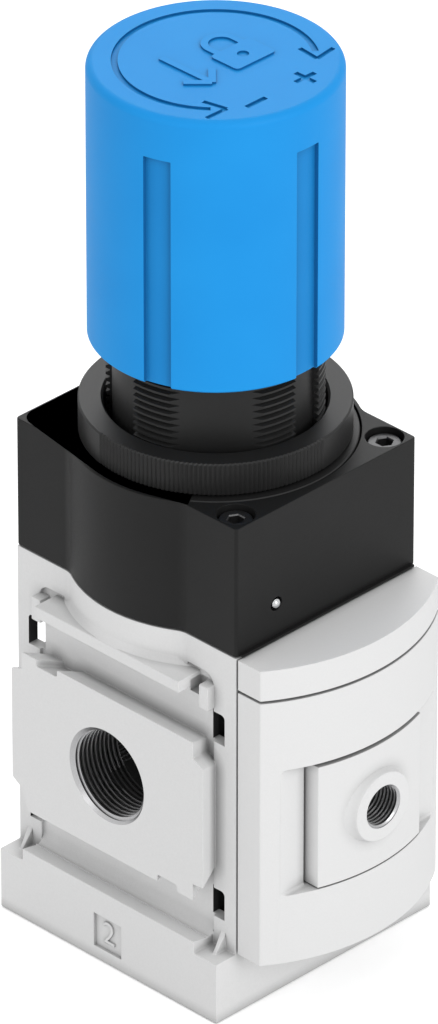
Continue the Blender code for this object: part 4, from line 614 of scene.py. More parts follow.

# The tapped bores are bare machined aluminium, which glints on its crests. Its colour is darkened
# quickly down the hole and between the thread's flanks, as painted shade.
tapped = bpy.data.materials.new("machined_aluminium")
tapped.use_nodes = True
tree = tapped.node_tree
shader = tree.nodes["Principled BSDF"]
shader.inputs["Metallic"].default_value = 1.0
place = add_node(tree, "ShaderNodeTexCoord").outputs["Object"]
lines = add_node(tree, "ShaderNodeTexNoise", None, {"Vector": place, "Scale": 1 / (0.3 * MM), "Detail": 2.0})
tone = add_node(
    tree,
    "ShaderNodeMix",
    {"data_type": "RGBA"},
    {"Factor": lines.outputs["Fac"], 6: srgb("#b0b0b1"), 7: srgb("#c6c6c7")},
)
tree.links.new(shade_creases(tree, tone.outputs[2], 1.2 * MM, 0.02), shader.inputs["Base Color"])
gloss = add_node(
    tree, "ShaderNodeMapRange", None, {"Value": lines.outputs["Fac"], "To Min": 0.28, "To Max": 0.4}
)
tree.links.new(gloss.outputs[0], shader.inputs["Roughness"])


# The pockets behind the clamp slots and the ducts between the ports get a near-black colour, which is
# painted shade for these deep hollows.
recess_shade = bpy.data.materials.new("recess_painted_shade")
recess_shade.use_nodes = True
tree = recess_shade.node_tree
shader = tree.nodes["Principled BSDF"]
place = add_node(tree, "ShaderNodeTexCoord").outputs["Object"]
shade_mottle = add_node(tree, "ShaderNodeTexNoise", None, {"Vector": place, "Scale": 1 / (0.7 * MM), "Detail": 3.0})
tone = add_node(
    tree,
    "ShaderNodeMix",
    {"data_type": "RGBA"},
    {"Factor": shade_mottle.outputs["Fac"], 6: srgb("#1a1a1a"), 7: srgb("#2b2b2b")},
)
tree.links.new(tone.outputs[2], shader.inputs["Base Color"])
shader.inputs["Roughness"].default_value = 0.7


def in_port(middle, normal):
    round_port = math.hypot(middle.y, middle.z - PORT_Z) < mouth and abs(normal.x) < 0.95
    return abs(middle.x) > port_end + PORT_RUNOUT - PORT_PITCH and round_port


def in_pocket(middle, normal):
    beside = POCKET_X[0] - 0.1 * MM < abs(middle.x) < WALL - 0.9 * MM
    behind = POCKET_Y[0] - 0.4 * MM < abs(middle.y) < REAR - 0.5 * MM
    return beside and behind and LOWER_POCKET[0] - PAST < middle.z < UPPER_POCKET[2] + PAST


def in_duct(middle, normal):
    off_axis = math.hypot(middle.y, middle.z - PORT_Z)
    end_of_port = abs(middle.x) < port_end + PORT_RUNOUT - PORT_PITCH and off_axis < mouth
    beside = 12.0 * MM < abs(middle.x) < 22.6 * MM and abs(middle.y) < 7.6 * MM and 29.0 * MM < middle.z < 61.0 * MM
    inside = math.hypot(middle.x, middle.y) < 18.7 * MM and 9.0 * MM < middle.z < 64.0 * MM
    return end_of_port or beside or inside


casting.data.materials.clear()
for material in (paint, tapped, recess_shade):
    casting.data.materials.append(material)
for number, test in ((1, in_port), (2, in_pocket), (2, in_duct)):
    pick(casting, "FACE", test)
    casting.active_material_index = number
    bpy.ops.object.material_slot_assign()
    bpy.ops.object.mode_set(mode="OBJECT")
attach(casting, "regulator_body")
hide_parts("housing")


# Port numbers
# Raised numbers in the square fields on the foot: 2 marks the outlet at -X and 1 the inlet at +X. They are
# cast with the housing and carry the same paint.
NUMBER_SIZE = 7.4 * MM
NUMBER_RAISE = 0.3 * MM
for end, figure in ((-1, "2"), (1, "1")):
    bpy.ops.object.select_all(action="DESELECT")
    middle = (end * (field_floor + 0.02 * MM), 0.0, sum(NUMBER_LEVELS) / 2)
    bpy.ops.object.text_add(location=middle, rotation=(math.pi / 2, 0.0, end * math.pi / 2))
    number = bpy.context.object
    number.data.body = figure
    number.data.size = NUMBER_SIZE
    number.data.align_x = "CENTER"
    number.data.align_y = "CENTER"
    number.data.extrude = NUMBER_RAISE
    number.data.offset = -0.1 * MM
    number.data.bevel_depth = 0.08 * MM
    bpy.ops.object.convert(target="MESH")
    number = settle("port_number_" + figure)
    number.data.materials.append(paint)
    smooth(number)
    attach(number, "regulator_body")


# Front cover
# Thin-walled moulding in light grey plastic, pegged to the casting's front. Its face is part of a large
# cylinder, and a window with flat reliefs at both sides leaves room for the gauge adapter.
cover_low, cover_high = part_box("front_cover")
cap_low, cap_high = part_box("front_cap")
adapter_low, adapter_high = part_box("gauge_adapter")
FACE_RADIUS = 43.65 * MM
FACE_CENTRE = -2.2 * MM
COVER_BACK = FRONT - 0.42 * MM
COVER_WALL = 2.2 * MM
NOSE = FACE_CENTRE - FACE_RADIUS
WINDOW_HALF = 21.9 * MM
WINDOW_LEVELS = (30.4 * MM, 60.0 * MM)
WINDOW_FLOOR = -40.0 * MM
OPENING_HALF = 15.2 * MM


def add_curved(name, half, radius, levels, back=COVER_BACK, limit=2 * NOSE):
    """A slab with flat sides and back whose front is part of the cover's cylinder, or flat at the limit."""
    slab = add_block(name, (-half, limit, levels[0]), (half, back, levels[1]))
    drum = [(radius, levels[0] - PAST), (radius, levels[1] + PAST)]
    combine(slab, add_turned("drum", drum, (0.0, FACE_CENTRE, 0.0), sides=360), "INTERSECT")
    return slab


def add_pegs(piece, places, radius, start, stop):
    """Join round pegs to a front piece. Start and stop are distances in front of the knob's axis."""
    for x, z in places:
        join(piece, add_turned("peg", [(radius, start), (radius, stop)], (x, 0.0, z), FACING_FRONT, 32))


cover = add_curved("front_cover_moulding", WALL, FACE_RADIUS, (14.4 * MM, 76.25 * MM))
inner_half = WALL - COVER_WALL
inner_radius = FACE_RADIUS - COVER_WALL
open_back = COVER_BACK + PAST
middle_levels = (17.6 * MM, 73.1 * MM)
cut(cover, add_curved("hollow", inner_half - 0.2 * MM, inner_radius - 0.3 * MM, middle_levels, open_back, -38.0 * MM))
window = add_block("window", (-WINDOW_HALF, NOSE - PAST, WINDOW_LEVELS[0]), (WINDOW_HALF, WINDOW_FLOOR, WINDOW_LEVELS[1]))
blend_edges(window, 0.7 * MM, 4, lambda middle, way: near(middle.y, WINDOW_FLOOR) and abs(way.x) > 0.9)
cut(cover, window)
opening = add_block(
    "opening",
    (-OPENING_HALF, WINDOW_FLOOR - PAST, WINDOW_LEVELS[0] + 0.05 * MM),
    (OPENING_HALF, open_back, WINDOW_LEVELS[1] - 0.05 * MM),
)
cut(cover, opening)
round_edges(cover, 0.2 * MM)
cut(cover, add_curved("hollow", inner_half, inner_radius, (16.6 * MM, 28.4 * MM), open_back))
cut(cover, add_curved("hollow", inner_half, inner_radius, (62.0 * MM, 74.1 * MM), open_back))
add_pegs(cover, ((0.0, 22.0 * MM), (0.0, 69.0 * MM)), 3.0 * MM, -FRONT - 0.2 * MM, -NOSE - COVER_WALL / 2)
add_pegs(cover, ((0.0, 22.0 * MM), (0.0, 69.0 * MM)), 1.6 * MM, -FRONT - 3.1 * MM, -FRONT + PAST)
smooth(cover)

# The plastic is moulded in a finely eroded tool: an even grain of about a fifth of a millimetre, drawn a
# little coarser here so that it shows, and a satin sheen.
shell = bpy.data.materials.new("moulded_grey_polyamide")
shell.use_nodes = True
tree = shell.node_tree
shader = tree.nodes["Principled BSDF"]
place = add_node(tree, "ShaderNodeTexCoord").outputs["Object"]
grain = add_node(tree, "ShaderNodeTexNoise", None, {"Vector": place, "Scale": 1 / (0.3 * MM), "Detail": 3.0})
tone = add_node(
    tree,
    "ShaderNodeMix",
    {"data_type": "RGBA"},
    {"Factor": grain.outputs["Fac"], 6: srgb("#d6d6d6"), 7: srgb("#dddddd")},
)
# The colour is darkened in inner corners and joints, as painted shade.
tree.links.new(shade_creases(tree, tone.outputs[2], 3.0 * MM, 0.25), shader.inputs["Base Color"])
gloss = add_node(
    tree, "ShaderNodeMapRange", None, {"Value": grain.outputs["Fac"], "To Min": 0.48, "To Max": 0.6}
)
tree.links.new(gloss.outputs[0], shader.inputs["Roughness"])
relief = add_node(
    tree, "ShaderNodeBump", None, {"Strength": 0.3, "Distance": 0.01 * MM, "Height": grain.outputs["Fac"]}
)
tree.links.new(relief.outputs[0], shader.inputs["Normal"])
shader.inputs["Specular IOR Level"].default_value = 0.35
cover.data.materials.clear()
cover.data.materials.append(shell)
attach(cover, "regulator_body")
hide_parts("front_cover")


# Front cap
# The upper end of the curved front, a shallow moulding in the same plastic. A dark joint less than half a
# millimetre wide parts it from the cover below.
CAP_LEVELS = (cap_low.z + 0.12 * MM, cap_high.z)
cap = add_curved("front_cap_moulding", WALL, FACE_RADIUS, CAP_LEVELS)
cap_hollow = (CAP_LEVELS[0] - PAST, CAP_LEVELS[1] - COVER_WALL)
cut(cap, add_curved("hollow", inner_half, inner_radius, cap_hollow, COVER_BACK - COVER_WALL))
cap_pegs = ((-12.0 * MM, 79.45 * MM), (12.0 * MM, 79.45 * MM))
add_pegs(cap, cap_pegs, 1.6 * MM, -FRONT - 3.1 * MM, -COVER_BACK + COVER_WALL / 2)
round_edges(cap, 0.2 * MM)
smooth(cap)
cap.data.materials.clear()
cap.data.materials.append(shell)
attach(cap, "regulator_body")
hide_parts("front_cap")


# Gauge adapter
# Plate in the cover's window with a round boss, which is tapped for a small gauge or a blanking plug. The
# boss grows from the curved face with a soft fillet, and four pegs hold the plate to the casting.
ADAPTER_HALF = 14.6 * MM
ADAPTER_LEVELS = (adapter_low.z, adapter_high.z - 0.15 * MM)
BOSS_RADIUS = 7.6 * MM
BOSS_FACE = -adapter_low.y
GAUGE_RADIUS = 4.3 * MM
GAUGE_DEPTH = 9.0 * MM
GAUGE_PITCH = 0.907 * MM
GAUGE_MAJOR = 4.82 * MM
BOSS_FOOT = 11.0 * MM  # the cove spreads to this radius, under the curved face
COVE_DEPTH = 2.9 * MM
adapter = add_curved("gauge_adapter_plate", ADAPTER_HALF, FACE_RADIUS, ADAPTER_LEVELS)
boss_axis = (0.0, 0.0, PORT_Z)
boss = [(BOSS_FOOT, BOSS_FACE - 6.0 * MM)]
for i in range(9):
    angle = math.pi / 2 * (1 - i / 8)
    reach = BOSS_FOOT - (BOSS_FOOT - BOSS_RADIUS) * math.cos(angle)
    boss.append((reach, BOSS_FACE - 0.1 * MM - COVE_DEPTH * math.sin(angle)))
boss[-1] = (BOSS_RADIUS, BOSS_FACE - 0.3 * MM)
boss += [(BOSS_RADIUS - 0.08 * MM, BOSS_FACE - 0.09 * MM), (BOSS_RADIUS - 0.3 * MM, BOSS_FACE)]
adapter_pegs = [(x * MM, PORT_Z + z * MM) for x in (-10.5, 10.5) for z in (-10.3, 10.3)]
add_pegs(adapter, adapter_pegs, 1.6 * MM, -FRONT - 3.1 * MM, -COVER_BACK + PAST)
round_edges(adapter, 0.16 * MM)
join(adapter, add_turned("boss", boss, boss_axis, FACING_FRONT, 120))
gauge_bore = [(2.0 * MM, -COVER_BACK - PAST), (2.0 * MM, BOSS_FACE - GAUGE_DEPTH)]
gauge_bore += [(GAUGE_RADIUS, BOSS_FACE - GAUGE_DEPTH), (GAUGE_RADIUS, BOSS_FACE - 0.5 * MM)]
gauge_bore += [(GAUGE_RADIUS + 0.5 * MM, BOSS_FACE), (GAUGE_RADIUS + 0.5 * MM, BOSS_FACE + PAST)]
cut(adapter, add_turned("gauge_bore", gauge_bore, boss_axis, FACING_FRONT, 96))
groove = [(6.95 * MM, -COVER_BACK - PAST), (6.95 * MM, -COVER_BACK + 2.0 * MM)]
groove = add_turned("seal_groove", groove, boss_axis, FACING_FRONT, 64)
land = [(4.65 * MM, -COVER_BACK - 2 * PAST), (4.65 * MM, -COVER_BACK + 3.0 * MM)]
cut(groove, add_turned("seal_land", land, boss_axis, FACING_FRONT, 64))
cut(adapter, groove)
tap_start = BOSS_FACE - GAUGE_DEPTH + GAUGE_PITCH
inside = GAUGE_RADIUS - 0.12 * MM
tap = add_thread_tool("gauge_tap", GAUGE_PITCH, inside, GAUGE_MAJOR, tap_start, BOSS_FACE, boss_axis, FACING_FRONT)
cut(adapter, tap)
smooth(adapter)
adapter.data.materials.clear()
adapter.data.materials.append(shell)
adapter.data.materials.append(tapped)


def in_gauge_port(middle, normal):
    return math.hypot(middle.x, middle.z - PORT_Z) < GAUGE_MAJOR + 0.1 * MM and abs(normal.y) < 0.95


pick(adapter, "FACE", in_gauge_port)
adapter.active_material_index = 1
bpy.ops.object.material_slot_assign()
bpy.ops.object.mode_set(mode="OBJECT")
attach(adapter, "regulator_body")
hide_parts("gauge_adapter")


# Spring housing
# Black block that clamps the diaphragm onto the casting and holds the bonnet. It is moulded in glass-filled
# nylon, bulges round the bonnet at both sides, and is held by a sunk screw in each corner.
block_low, block_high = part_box("spring_housing")
BLOCK_LEVELS = (block_low.z, block_high.z)
BLOCK_CORNER = 0.7 * MM
SCREW_X = 21.0 * MM
SCREW_Y = 26.5 * MM
COUNTERBORE = 3.9 * MM
SCREW_SEAT = 108.8 * MM
VENT_PLACE = (-14.06 * MM, 91.8 * MM)
VENT_RADIUS = 1.5 * MM
FLANGE_BORE = 29.1 * MM
FLANGE_SEAT = 109.2 * MM

block = add_block("spring_housing_block", (-WALL, FRONT, BLOCK_LEVELS[0]), (WALL, REAR, BLOCK_LEVELS[1]))
blend_edges(block, BLOCK_CORNER, 4, lambda middle, way: abs(way.z) > 0.9)
join(block, add_turned("block_bulge", [(BULGE_RADIUS, BLOCK_LEVELS[0]), (BULGE_RADIUS, BLOCK_LEVELS[1])], sides=240))
for side in (-1, 1):
    for end in (-1, 1):
        join(block, add_bulge_blend("bulge_blend", side, end, BLOCK_LEVELS))
bore = [(21.3 * MM, BLOCK_LEVELS[0] - PAST), (21.3 * MM, 93.0 * MM), (23.0 * MM, 93.0 * MM)]
bore += [(23.0 * MM, 100.0 * MM), (23.9 * MM, 100.0 * MM), (23.9 * MM, 102.0 * MM), (23.0 * MM, 102.0 * MM)]
bore += [(23.0 * MM, FLANGE_SEAT), (FLANGE_BORE, FLANGE_SEAT), (FLANGE_BORE, BLOCK_LEVELS[1] + PAST)]
cut(block, add_turned("block_bore", bore, sides=240))
for x in (-SCREW_X, SCREW_X):
    for y in (-SCREW_Y, SCREW_Y):
        seat = SCREW_SEAT - 0.3 * MM
        hole = [(2.3 * MM, BLOCK_LEVELS[0] - PAST), (2.3 * MM, seat), (COUNTERBORE, seat)]
        hole += [(COUNTERBORE, BLOCK_LEVELS[1] + PAST)]
        cut(block, add_turned("counterbore", hole, (x, y, 0.0), sides=64))
vent = [(0.7 * MM, 0.0), (0.7 * MM, -FRONT - 2.1 * MM), (VENT_RADIUS, -FRONT - 2.1 * MM), (VENT_RADIUS, -FRONT + PAST)]
cut(block, add_turned("vent", vent, (VENT_PLACE[0], 0.0, VENT_PLACE[1]), FACING_FRONT, 32))
round_edges(block, 0.22 * MM)
lip = add_block(
    "block_lip",
    (-WALL + PAST, block_low.y, BLOCK_LEVELS[0] + 0.1 * MM),
    (WALL - PAST, FRONT + PAST, BLOCK_LEVELS[0] + 0.5 * MM),
)
select_only(block)
lip.select_set(True)
bpy.ops.object.join()
smooth(block)

# Glass-filled nylon is a very dark grey with a dry sheen. Its skin is a little cloudy and grained at about
# a third of a millimetre, where fibres lie just under the surface.
nylon = bpy.data.materials.new("glass_filled_nylon")
nylon.use_nodes = True
tree = nylon.node_tree
shader = tree.nodes["Principled BSDF"]
place = add_node(tree, "ShaderNodeTexCoord").outputs["Object"]
fibre = add_node(tree, "ShaderNodeTexNoise", None, {"Vector": place, "Scale": 1 / (0.35 * MM), "Detail": 3.0})
cloud = add_node(tree, "ShaderNodeTexNoise", None, {"Vector": place, "Scale": 1 / (9.0 * MM), "Detail": 2.0})
tone = add_node(
    tree,
    "ShaderNodeMix",
    {"data_type": "RGBA"},
    {"Factor": cloud.outputs["Fac"], 6: srgb("#151515"), 7: srgb("#1a1a1a")},
)
tree.links.new(tone.outputs[2], shader.inputs["Base Color"])
gloss = add_node(
    tree, "ShaderNodeMapRange", None, {"Value": fibre.outputs["Fac"], "To Min": 0.42, "To Max": 0.56}
)
tree.links.new(gloss.outputs[0], shader.inputs["Roughness"])
relief = add_node(
    tree, "ShaderNodeBump", None, {"Strength": 0.3, "Distance": 0.012 * MM, "Height": fibre.outputs["Fac"]}
)
tree.links.new(relief.outputs[0], shader.inputs["Normal"])
shader.inputs["Specular IOR Level"].default_value = 0.2
block.data.materials.clear()
block.data.materials.append(nylon)
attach(block, "regulator_body")
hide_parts("spring_housing")


# Cover screws
# Four socket-head screws, cold-headed in steel and blackened, sunk in the corners of the spring housing.
# One is modelled and the other three are copies of it.
HEAD_RADIUS = 3.45 * MM
HEAD_TOP = 112.5 * MM
SHANK_RADIUS = 2.0 * MM
SCREW_TIP = 73.3 * MM
HEX_ACROSS = 3.0 * MM
HEX_DEPTH = 2.0 * MM
screw_steel = bpy.data.materials.new("blackened_steel")
screw_steel.use_nodes = True
tree = screw_steel.node_tree
shader = tree.nodes["Principled BSDF"]
shader.inputs["Metallic"].default_value = 1.0
place = add_node(tree, "ShaderNodeTexCoord").outputs["Object"]
mottle = add_node(tree, "ShaderNodeTexNoise", None, {"Vector": place, "Scale": 1 / (0.5 * MM), "Detail": 2.0})
tone = add_node(
    tree,
    "ShaderNodeMix",
    {"data_type": "RGBA"},
    {"Factor": mottle.outputs["Fac"], 6: srgb("#4c4c4d"), 7: srgb("#606061")},
)
tree.links.new(tone.outputs[2], shader.inputs["Base Color"])
shader.inputs["Roughness"].default_value = 0.42

first_screw = (-SCREW_X, -SCREW_Y)
thread_profile = [(SHANK_RADIUS - 0.4 * MM, SCREW_TIP), (SHANK_RADIUS, SCREW_TIP + 0.4 * MM)]
thread_profile += [(SHANK_RADIUS, SCREW_SEAT), (HEAD_RADIUS, SCREW_SEAT), (HEAD_RADIUS, HEAD_TOP - 0.35 * MM)]
thread_profile += [(HEAD_RADIUS - 0.12 * MM, HEAD_TOP - 0.1 * MM), (HEAD_RADIUS - 0.35 * MM, HEAD_TOP)]
screw = add_turned("cover_screw_steel_1", thread_profile, (*first_screw, 0.0), sides=64)
corner = HEX_ACROSS / math.sqrt(3.0)
socket = [(corner, HEAD_TOP - HEX_DEPTH), (corner, HEAD_TOP - 0.25 * MM), (corner + 0.25 * MM, HEAD_TOP + 0.01 * MM)]
cut(screw, add_turned("hex_socket", socket, (*first_screw, 0.0), sides=6))
smooth(screw)
screw.data.materials.clear()
screw.data.materials.append(screw_steel)
screws = [screw]
for number, (x, y) in enumerate(((SCREW_X, -SCREW_Y), (-SCREW_X, SCREW_Y), (SCREW_X, SCREW_Y)), start=2):
    select_only(screw)
    bpy.ops.object.duplicate()
    bpy.context.object.location = (x - first_screw[0], y - first_screw[1], 0.0)
    screws.append(settle(f"cover_screw_steel_{number}"))
for number, piece in enumerate(screws, start=1):
    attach(piece, "regulator_body")
    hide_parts(f"cover_screw_{number}")


# Vent ball
# A hardened steel ball pressed into the vent hole at the front of the spring housing. It leaves only a
# narrow ring for air to pass, and is polished bright.
BALL_RADIUS = 1.2 * MM
ball_low, ball_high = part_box("vent_ball")
ball_middle = (ball_low + ball_high) / 2
bpy.ops.object.select_all(action="DESELECT")
bpy.ops.mesh.primitive_cube_add(size=2 * BALL_RADIUS, location=(0.0, 0.0, 0.0))
ball = settle("vent_ball_steel")
apply_modifier(ball, "SUBSURF", {"levels": 4, "render_levels": 4})
apply_modifier(ball, "CAST", {"cast_type": "SPHERE", "factor": 1.0, "size": BALL_RADIUS, "use_radius_as_size": False})
ball.location = ball_middle
select_only(ball)
ball = settle("vent_ball_steel")
smooth(ball)
polished = bpy.data.materials.new("polished_steel")
polished.use_nodes = True
tree = polished.node_tree
shader = tree.nodes["Principled BSDF"]
shader.inputs["Metallic"].default_value = 1.0
place = add_node(tree, "ShaderNodeTexCoord").outputs["Object"]
haze = add_node(tree, "ShaderNodeTexNoise", None, {"Vector": place, "Scale": 1 / (0.6 * MM), "Detail": 1.0})
gloss = add_node(
    tree, "ShaderNodeMapRange", None, {"Value": haze.outputs["Fac"], "To Min": 0.12, "To Max": 0.22}
)
tree.links.new(gloss.outputs[0], shader.inputs["Roughness"])
shader.inputs["Base Color"].default_value = srgb("#c9cacb")
ball.data.materials.append(polished)
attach(ball, "regulator_body")
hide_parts("vent_ball")


# Bonnet
# Black acetal sleeve with a round flange that sits flush in the block. Its thread takes the ring nut, and is
# broken by two flats and four shallow recesses, so it only shows in bands.
bonnet_low, bonnet_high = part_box("bonnet")
SLEEVE_RADIUS = 22.0 * MM
SLEEVE_BORE = 19.2 * MM
SKIRT_RADIUS = 22.7 * MM
FLANGE_RADIUS = 28.8 * MM
FLANGE_TOP = 113.5 * MM
FLANGE_BOTTOM = 109.6 * MM
WEB_BOTTOM = 131.9 * MM
SLEEVE_PITCH = 1.5 * MM
SLEEVE_ROOT = 21.15 * MM
SLOT_FLOOR = 20.6 * MM
SLOTS = ((271.0, 293.0), (129.0, 177.0))
FLAT_ANGLE = math.radians(225.0)
FLAT_HALF = 7.05 * MM


def add_arc(name, radii, levels, start, stop, steps):
    """Part of a ring, between two radii, two levels and two angles in degrees about the knob's axis."""
    bpy.ops.object.select_all(action="DESELECT")
    middle = (sum(radii) / 2, 0.0, sum(levels) / 2)
    bpy.ops.mesh.primitive_plane_add(size=1.0, location=middle, rotation=(math.pi / 2, 0.0, 0.0))
    piece = bpy.context.object
    piece.scale = (radii[1] - radii[0], levels[1] - levels[0], 1.0)
    piece = settle(name)
    bpy.ops.object.mode_set(mode="EDIT")
    bpy.ops.mesh.select_all(action="SELECT")
    sweep = math.radians(stop - start)
    bpy.ops.mesh.spin(steps=steps, angle=-sweep, center=(0.0, 0.0, 0.0), axis=(0.0, 0.0, 1.0))
    bpy.ops.mesh.select_all(action="SELECT")
    bpy.ops.mesh.remove_doubles(threshold=0.001 * MM)
    bpy.ops.mesh.normals_make_consistent(inside=False)
    bpy.ops.object.mode_set(mode="OBJECT")
    piece.rotation_euler.z = math.radians(start)
    return settle(name)


sleeve = [(SKIRT_RADIUS, bonnet_low.z), (SKIRT_RADIUS, 99.95 * MM), (21.8 * MM, 99.95 * MM), (21.8 * MM, 101.95 * MM)]
sleeve += [(SKIRT_RADIUS, 101.95 * MM), (SKIRT_RADIUS, FLANGE_BOTTOM), (FLANGE_RADIUS, FLANGE_BOTTOM)]
sleeve += [(FLANGE_RADIUS, FLANGE_TOP - 0.2 * MM), (FLANGE_RADIUS - 0.2 * MM, FLANGE_TOP), (SLEEVE_RADIUS, FLANGE_TOP)]
sleeve += [(SLEEVE_RADIUS, bonnet_high.z - 0.8 * MM), (SLEEVE_RADIUS - 0.8 * MM, bonnet_high.z)]
bonnet = add_turned("bonnet_sleeve", sleeve, sides=192)
cut(bonnet, add_turned("bonnet_bore", [(SLEEVE_BORE, bonnet_low.z - PAST), (SLEEVE_BORE, WEB_BOTTOM)], sides=96))
cut(bonnet, add_turned("spindle_bore", [(5.3 * MM, WEB_BOTTOM - PAST), (5.3 * MM, bonnet_high.z + PAST)], sides=64))
for end in (-1, 1):
    y = sorted((end * 17.6 * MM, end * (SLEEVE_BORE + 0.6 * MM)))
    key = add_block("key", (-2.5 * MM, y[0], bonnet_low.z + PAST), (2.5 * MM, y[1], WEB_BOTTOM + PAST))
    join(bonnet, key)
thread_start = FLANGE_TOP + 0.2 * MM
thread_stop = bonnet_high.z + PAST
thread = add_thread_tool(
    "sleeve_die", SLEEVE_PITCH, SLEEVE_RADIUS + 0.3 * MM, SLEEVE_ROOT, thread_start + SLEEVE_PITCH / 2, thread_stop
)
cut(bonnet, thread)
sleeve_levels = (FLANGE_TOP, bonnet_high.z + PAST)
for turn in (0.0, 180.0):
    for start, stop in SLOTS:
        recess = add_arc("recess", (SLOT_FLOOR, SLEEVE_RADIUS + PAST), sleeve_levels, start + turn, stop + turn, 20)
        cut(bonnet, recess)
    flat_out = math.sqrt(SLEEVE_ROOT**2 - FLAT_HALF**2)
    flat = add_block("flat", (flat_out, -1.4 * FLAT_HALF, sleeve_levels[0]), (SLEEVE_RADIUS + PAST, 1.4 * FLAT_HALF, sleeve_levels[1]))
    flat.rotation_euler.z = FLAT_ANGLE + math.radians(turn)
    select_only(flat)
    cut(bonnet, settle("flat"))
smooth(bonnet, 30.0)

# Acetal is a slippery black plastic, a shade lighter than the block, with a soft waxy sheen.
acetal = bpy.data.materials.new("black_acetal")
acetal.use_nodes = True
tree = acetal.node_tree
shader = tree.nodes["Principled BSDF"]
place = add_node(tree, "ShaderNodeTexCoord").outputs["Object"]
grain = add_node(tree, "ShaderNodeTexNoise", None, {"Vector": place, "Scale": 1 / (0.4 * MM), "Detail": 2.0})
tone = add_node(
    tree,
    "ShaderNodeMix",
    {"data_type": "RGBA"},
    {"Factor": grain.outputs["Fac"], 6: srgb("#1a1a1a"), 7: srgb("#202020")},
)
tree.links.new(tone.outputs[2], shader.inputs["Base Color"])
gloss = add_node(
    tree, "ShaderNodeMapRange", None, {"Value": grain.outputs["Fac"], "To Min": 0.4, "To Max": 0.52}
)
tree.links.new(gloss.outputs[0], shader.inputs["Roughness"])
shader.inputs["Specular IOR Level"].default_value = 0.3
bonnet.data.materials.clear()
bonnet.data.materials.append(acetal)
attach(bonnet, "regulator_body")
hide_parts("bonnet")


# Ring nut
# Acetal nut on the bonnet's thread, which clamps the regulator in a panel. Fine straight knurls cover two
# sectors of its rim, with plain rim between them.
nut_low, nut_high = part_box("panel_nut")
NUT_RADIUS = 27.45 * MM
NUT_BORE = 22.4 * MM
NUT_EDGE = 0.3 * MM
KNURL_DEPTH = 0.3 * MM
KNURL_TEETH = 180
KNURL_SECTORS = ((168.0, 277.0), (-12.0, 97.0))
rim = [(NUT_RADIUS - NUT_EDGE, nut_low.z), (NUT_RADIUS, nut_low.z + NUT_EDGE)]
rim += [(NUT_RADIUS, nut_high.z - NUT_EDGE), (NUT_RADIUS - NUT_EDGE, nut_high.z)]
ring_nut = add_turned("ring_nut_acetal", rim, sides=2 * KNURL_TEETH)


def knurl_valley(middle, way):
    """Every second upright edge of the rim, in the knurled sectors."""
    turn = math.degrees(math.atan2(middle.y, middle.x))
    tooth = turn / (180.0 / KNURL_TEETH)
    odd = round(tooth) % 2 == 1
    inside = any(start <= turn + around <= stop for start, stop in KNURL_SECTORS for around in (0.0, 360.0))
    return abs(way.z) > 0.5 and odd and inside


pick(ring_nut, "EDGE", knurl_valley)
shrink = (NUT_RADIUS - KNURL_DEPTH) / NUT_RADIUS
bpy.ops.transform.resize(value=(shrink, shrink, 1.0), center_override=(0.0, 0.0, 0.0))
bpy.ops.object.mode_set(mode="OBJECT")
nut_bore = [(NUT_BORE + 0.5 * MM, nut_low.z - 0.01 * MM), (NUT_BORE, nut_low.z + 0.5 * MM)]
nut_bore += [(NUT_BORE, nut_high.z - 0.5 * MM), (NUT_BORE + 0.5 * MM, nut_high.z + 0.01 * MM)]
cut(ring_nut, add_turned("nut_bore", nut_bore, sides=180))
smooth(ring_nut, 12.0)
ring_nut.data.materials.clear()
ring_nut.data.materials.append(acetal)
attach(ring_nut, "ring_nut_group")
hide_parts("panel_nut")


# Knob
# Hand knob moulded in blue plastic: a deep cup with five grip grooves, a hexagonal hub that slides on the
# spindle and a toothed crown that locks on the ring below when the knob is pushed down.
knob_low, knob_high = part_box("knob")
KNOB_RADIUS = knob_high.x
KNOB_BORE = 23.2 * MM
KNOB_EDGE = 1.7 * MM
KNOB_CEILING = 194.5 * MM
GROOVES = 5
GROOVE_WIDTH = 5.9 * MM
GROOVE_DEPTH = 1.0 * MM
GROOVE_TOP = 187.4 * MM
CROWN_LEVELS = (140.9 * MM, 145.9 * MM)
CROWN_BORE = 18.8 * MM
LOCK_TEETH = 16
HUB_RADIUS = 8.85 * MM
HUB_BOTTOM = 143.1 * MM
HUB_HEX = 5.54 * MM


def copy_round(piece, count):
    """Copy a piece evenly round the knob's axis and join the copies into it."""
    copies = []
    for number in range(1, count):
        select_only(piece)
        bpy.ops.object.duplicate()
        bpy.context.object.rotation_euler.z = math.tau * number / count
        copies.append(settle("copy"))
    select_only(piece)
    for copy in copies:
        copy.select_set(True)
    bpy.ops.object.join()
    return piece


body = [(KNOB_RADIUS - 0.4 * MM, knob_low.z), (KNOB_RADIUS, knob_low.z + 0.4 * MM)]
for i in range(9):
    angle = math.pi / 2 * i / 8
    reach = KNOB_RADIUS - KNOB_EDGE + KNOB_EDGE * math.cos(angle)
    body.append((reach, knob_high.z - KNOB_EDGE + KNOB_EDGE * math.sin(angle)))
knob = add_turned("knob_moulding", body, sides=240)
cut(knob, add_turned("knob_bore", [(KNOB_BORE, knob_low.z - PAST), (KNOB_BORE, KNOB_CEILING)], sides=192))
groove_half = math.degrees(math.asin(GROOVE_WIDTH / 2 / KNOB_RADIUS))
groove = add_arc(
    "grip_groove",
    (KNOB_RADIUS - GROOVE_DEPTH, KNOB_RADIUS + PAST),
    (knob_low.z - PAST, GROOVE_TOP),
    270.0 - groove_half,
    270.0 + groove_half,
    9,
)
cut(knob, copy_round(groove, GROOVES))
round_edges(knob, 0.15 * MM, 2, 50.0)
join(knob, add_turned("hub", [(HUB_RADIUS, HUB_BOTTOM), (HUB_RADIUS, KNOB_CEILING + PAST)], sides=64))
crown = add_turned("crown", [(KNOB_BORE + 0.8 * MM, CROWN_LEVELS[0]), (KNOB_BORE + 0.8 * MM, CROWN_LEVELS[1])], sides=96)
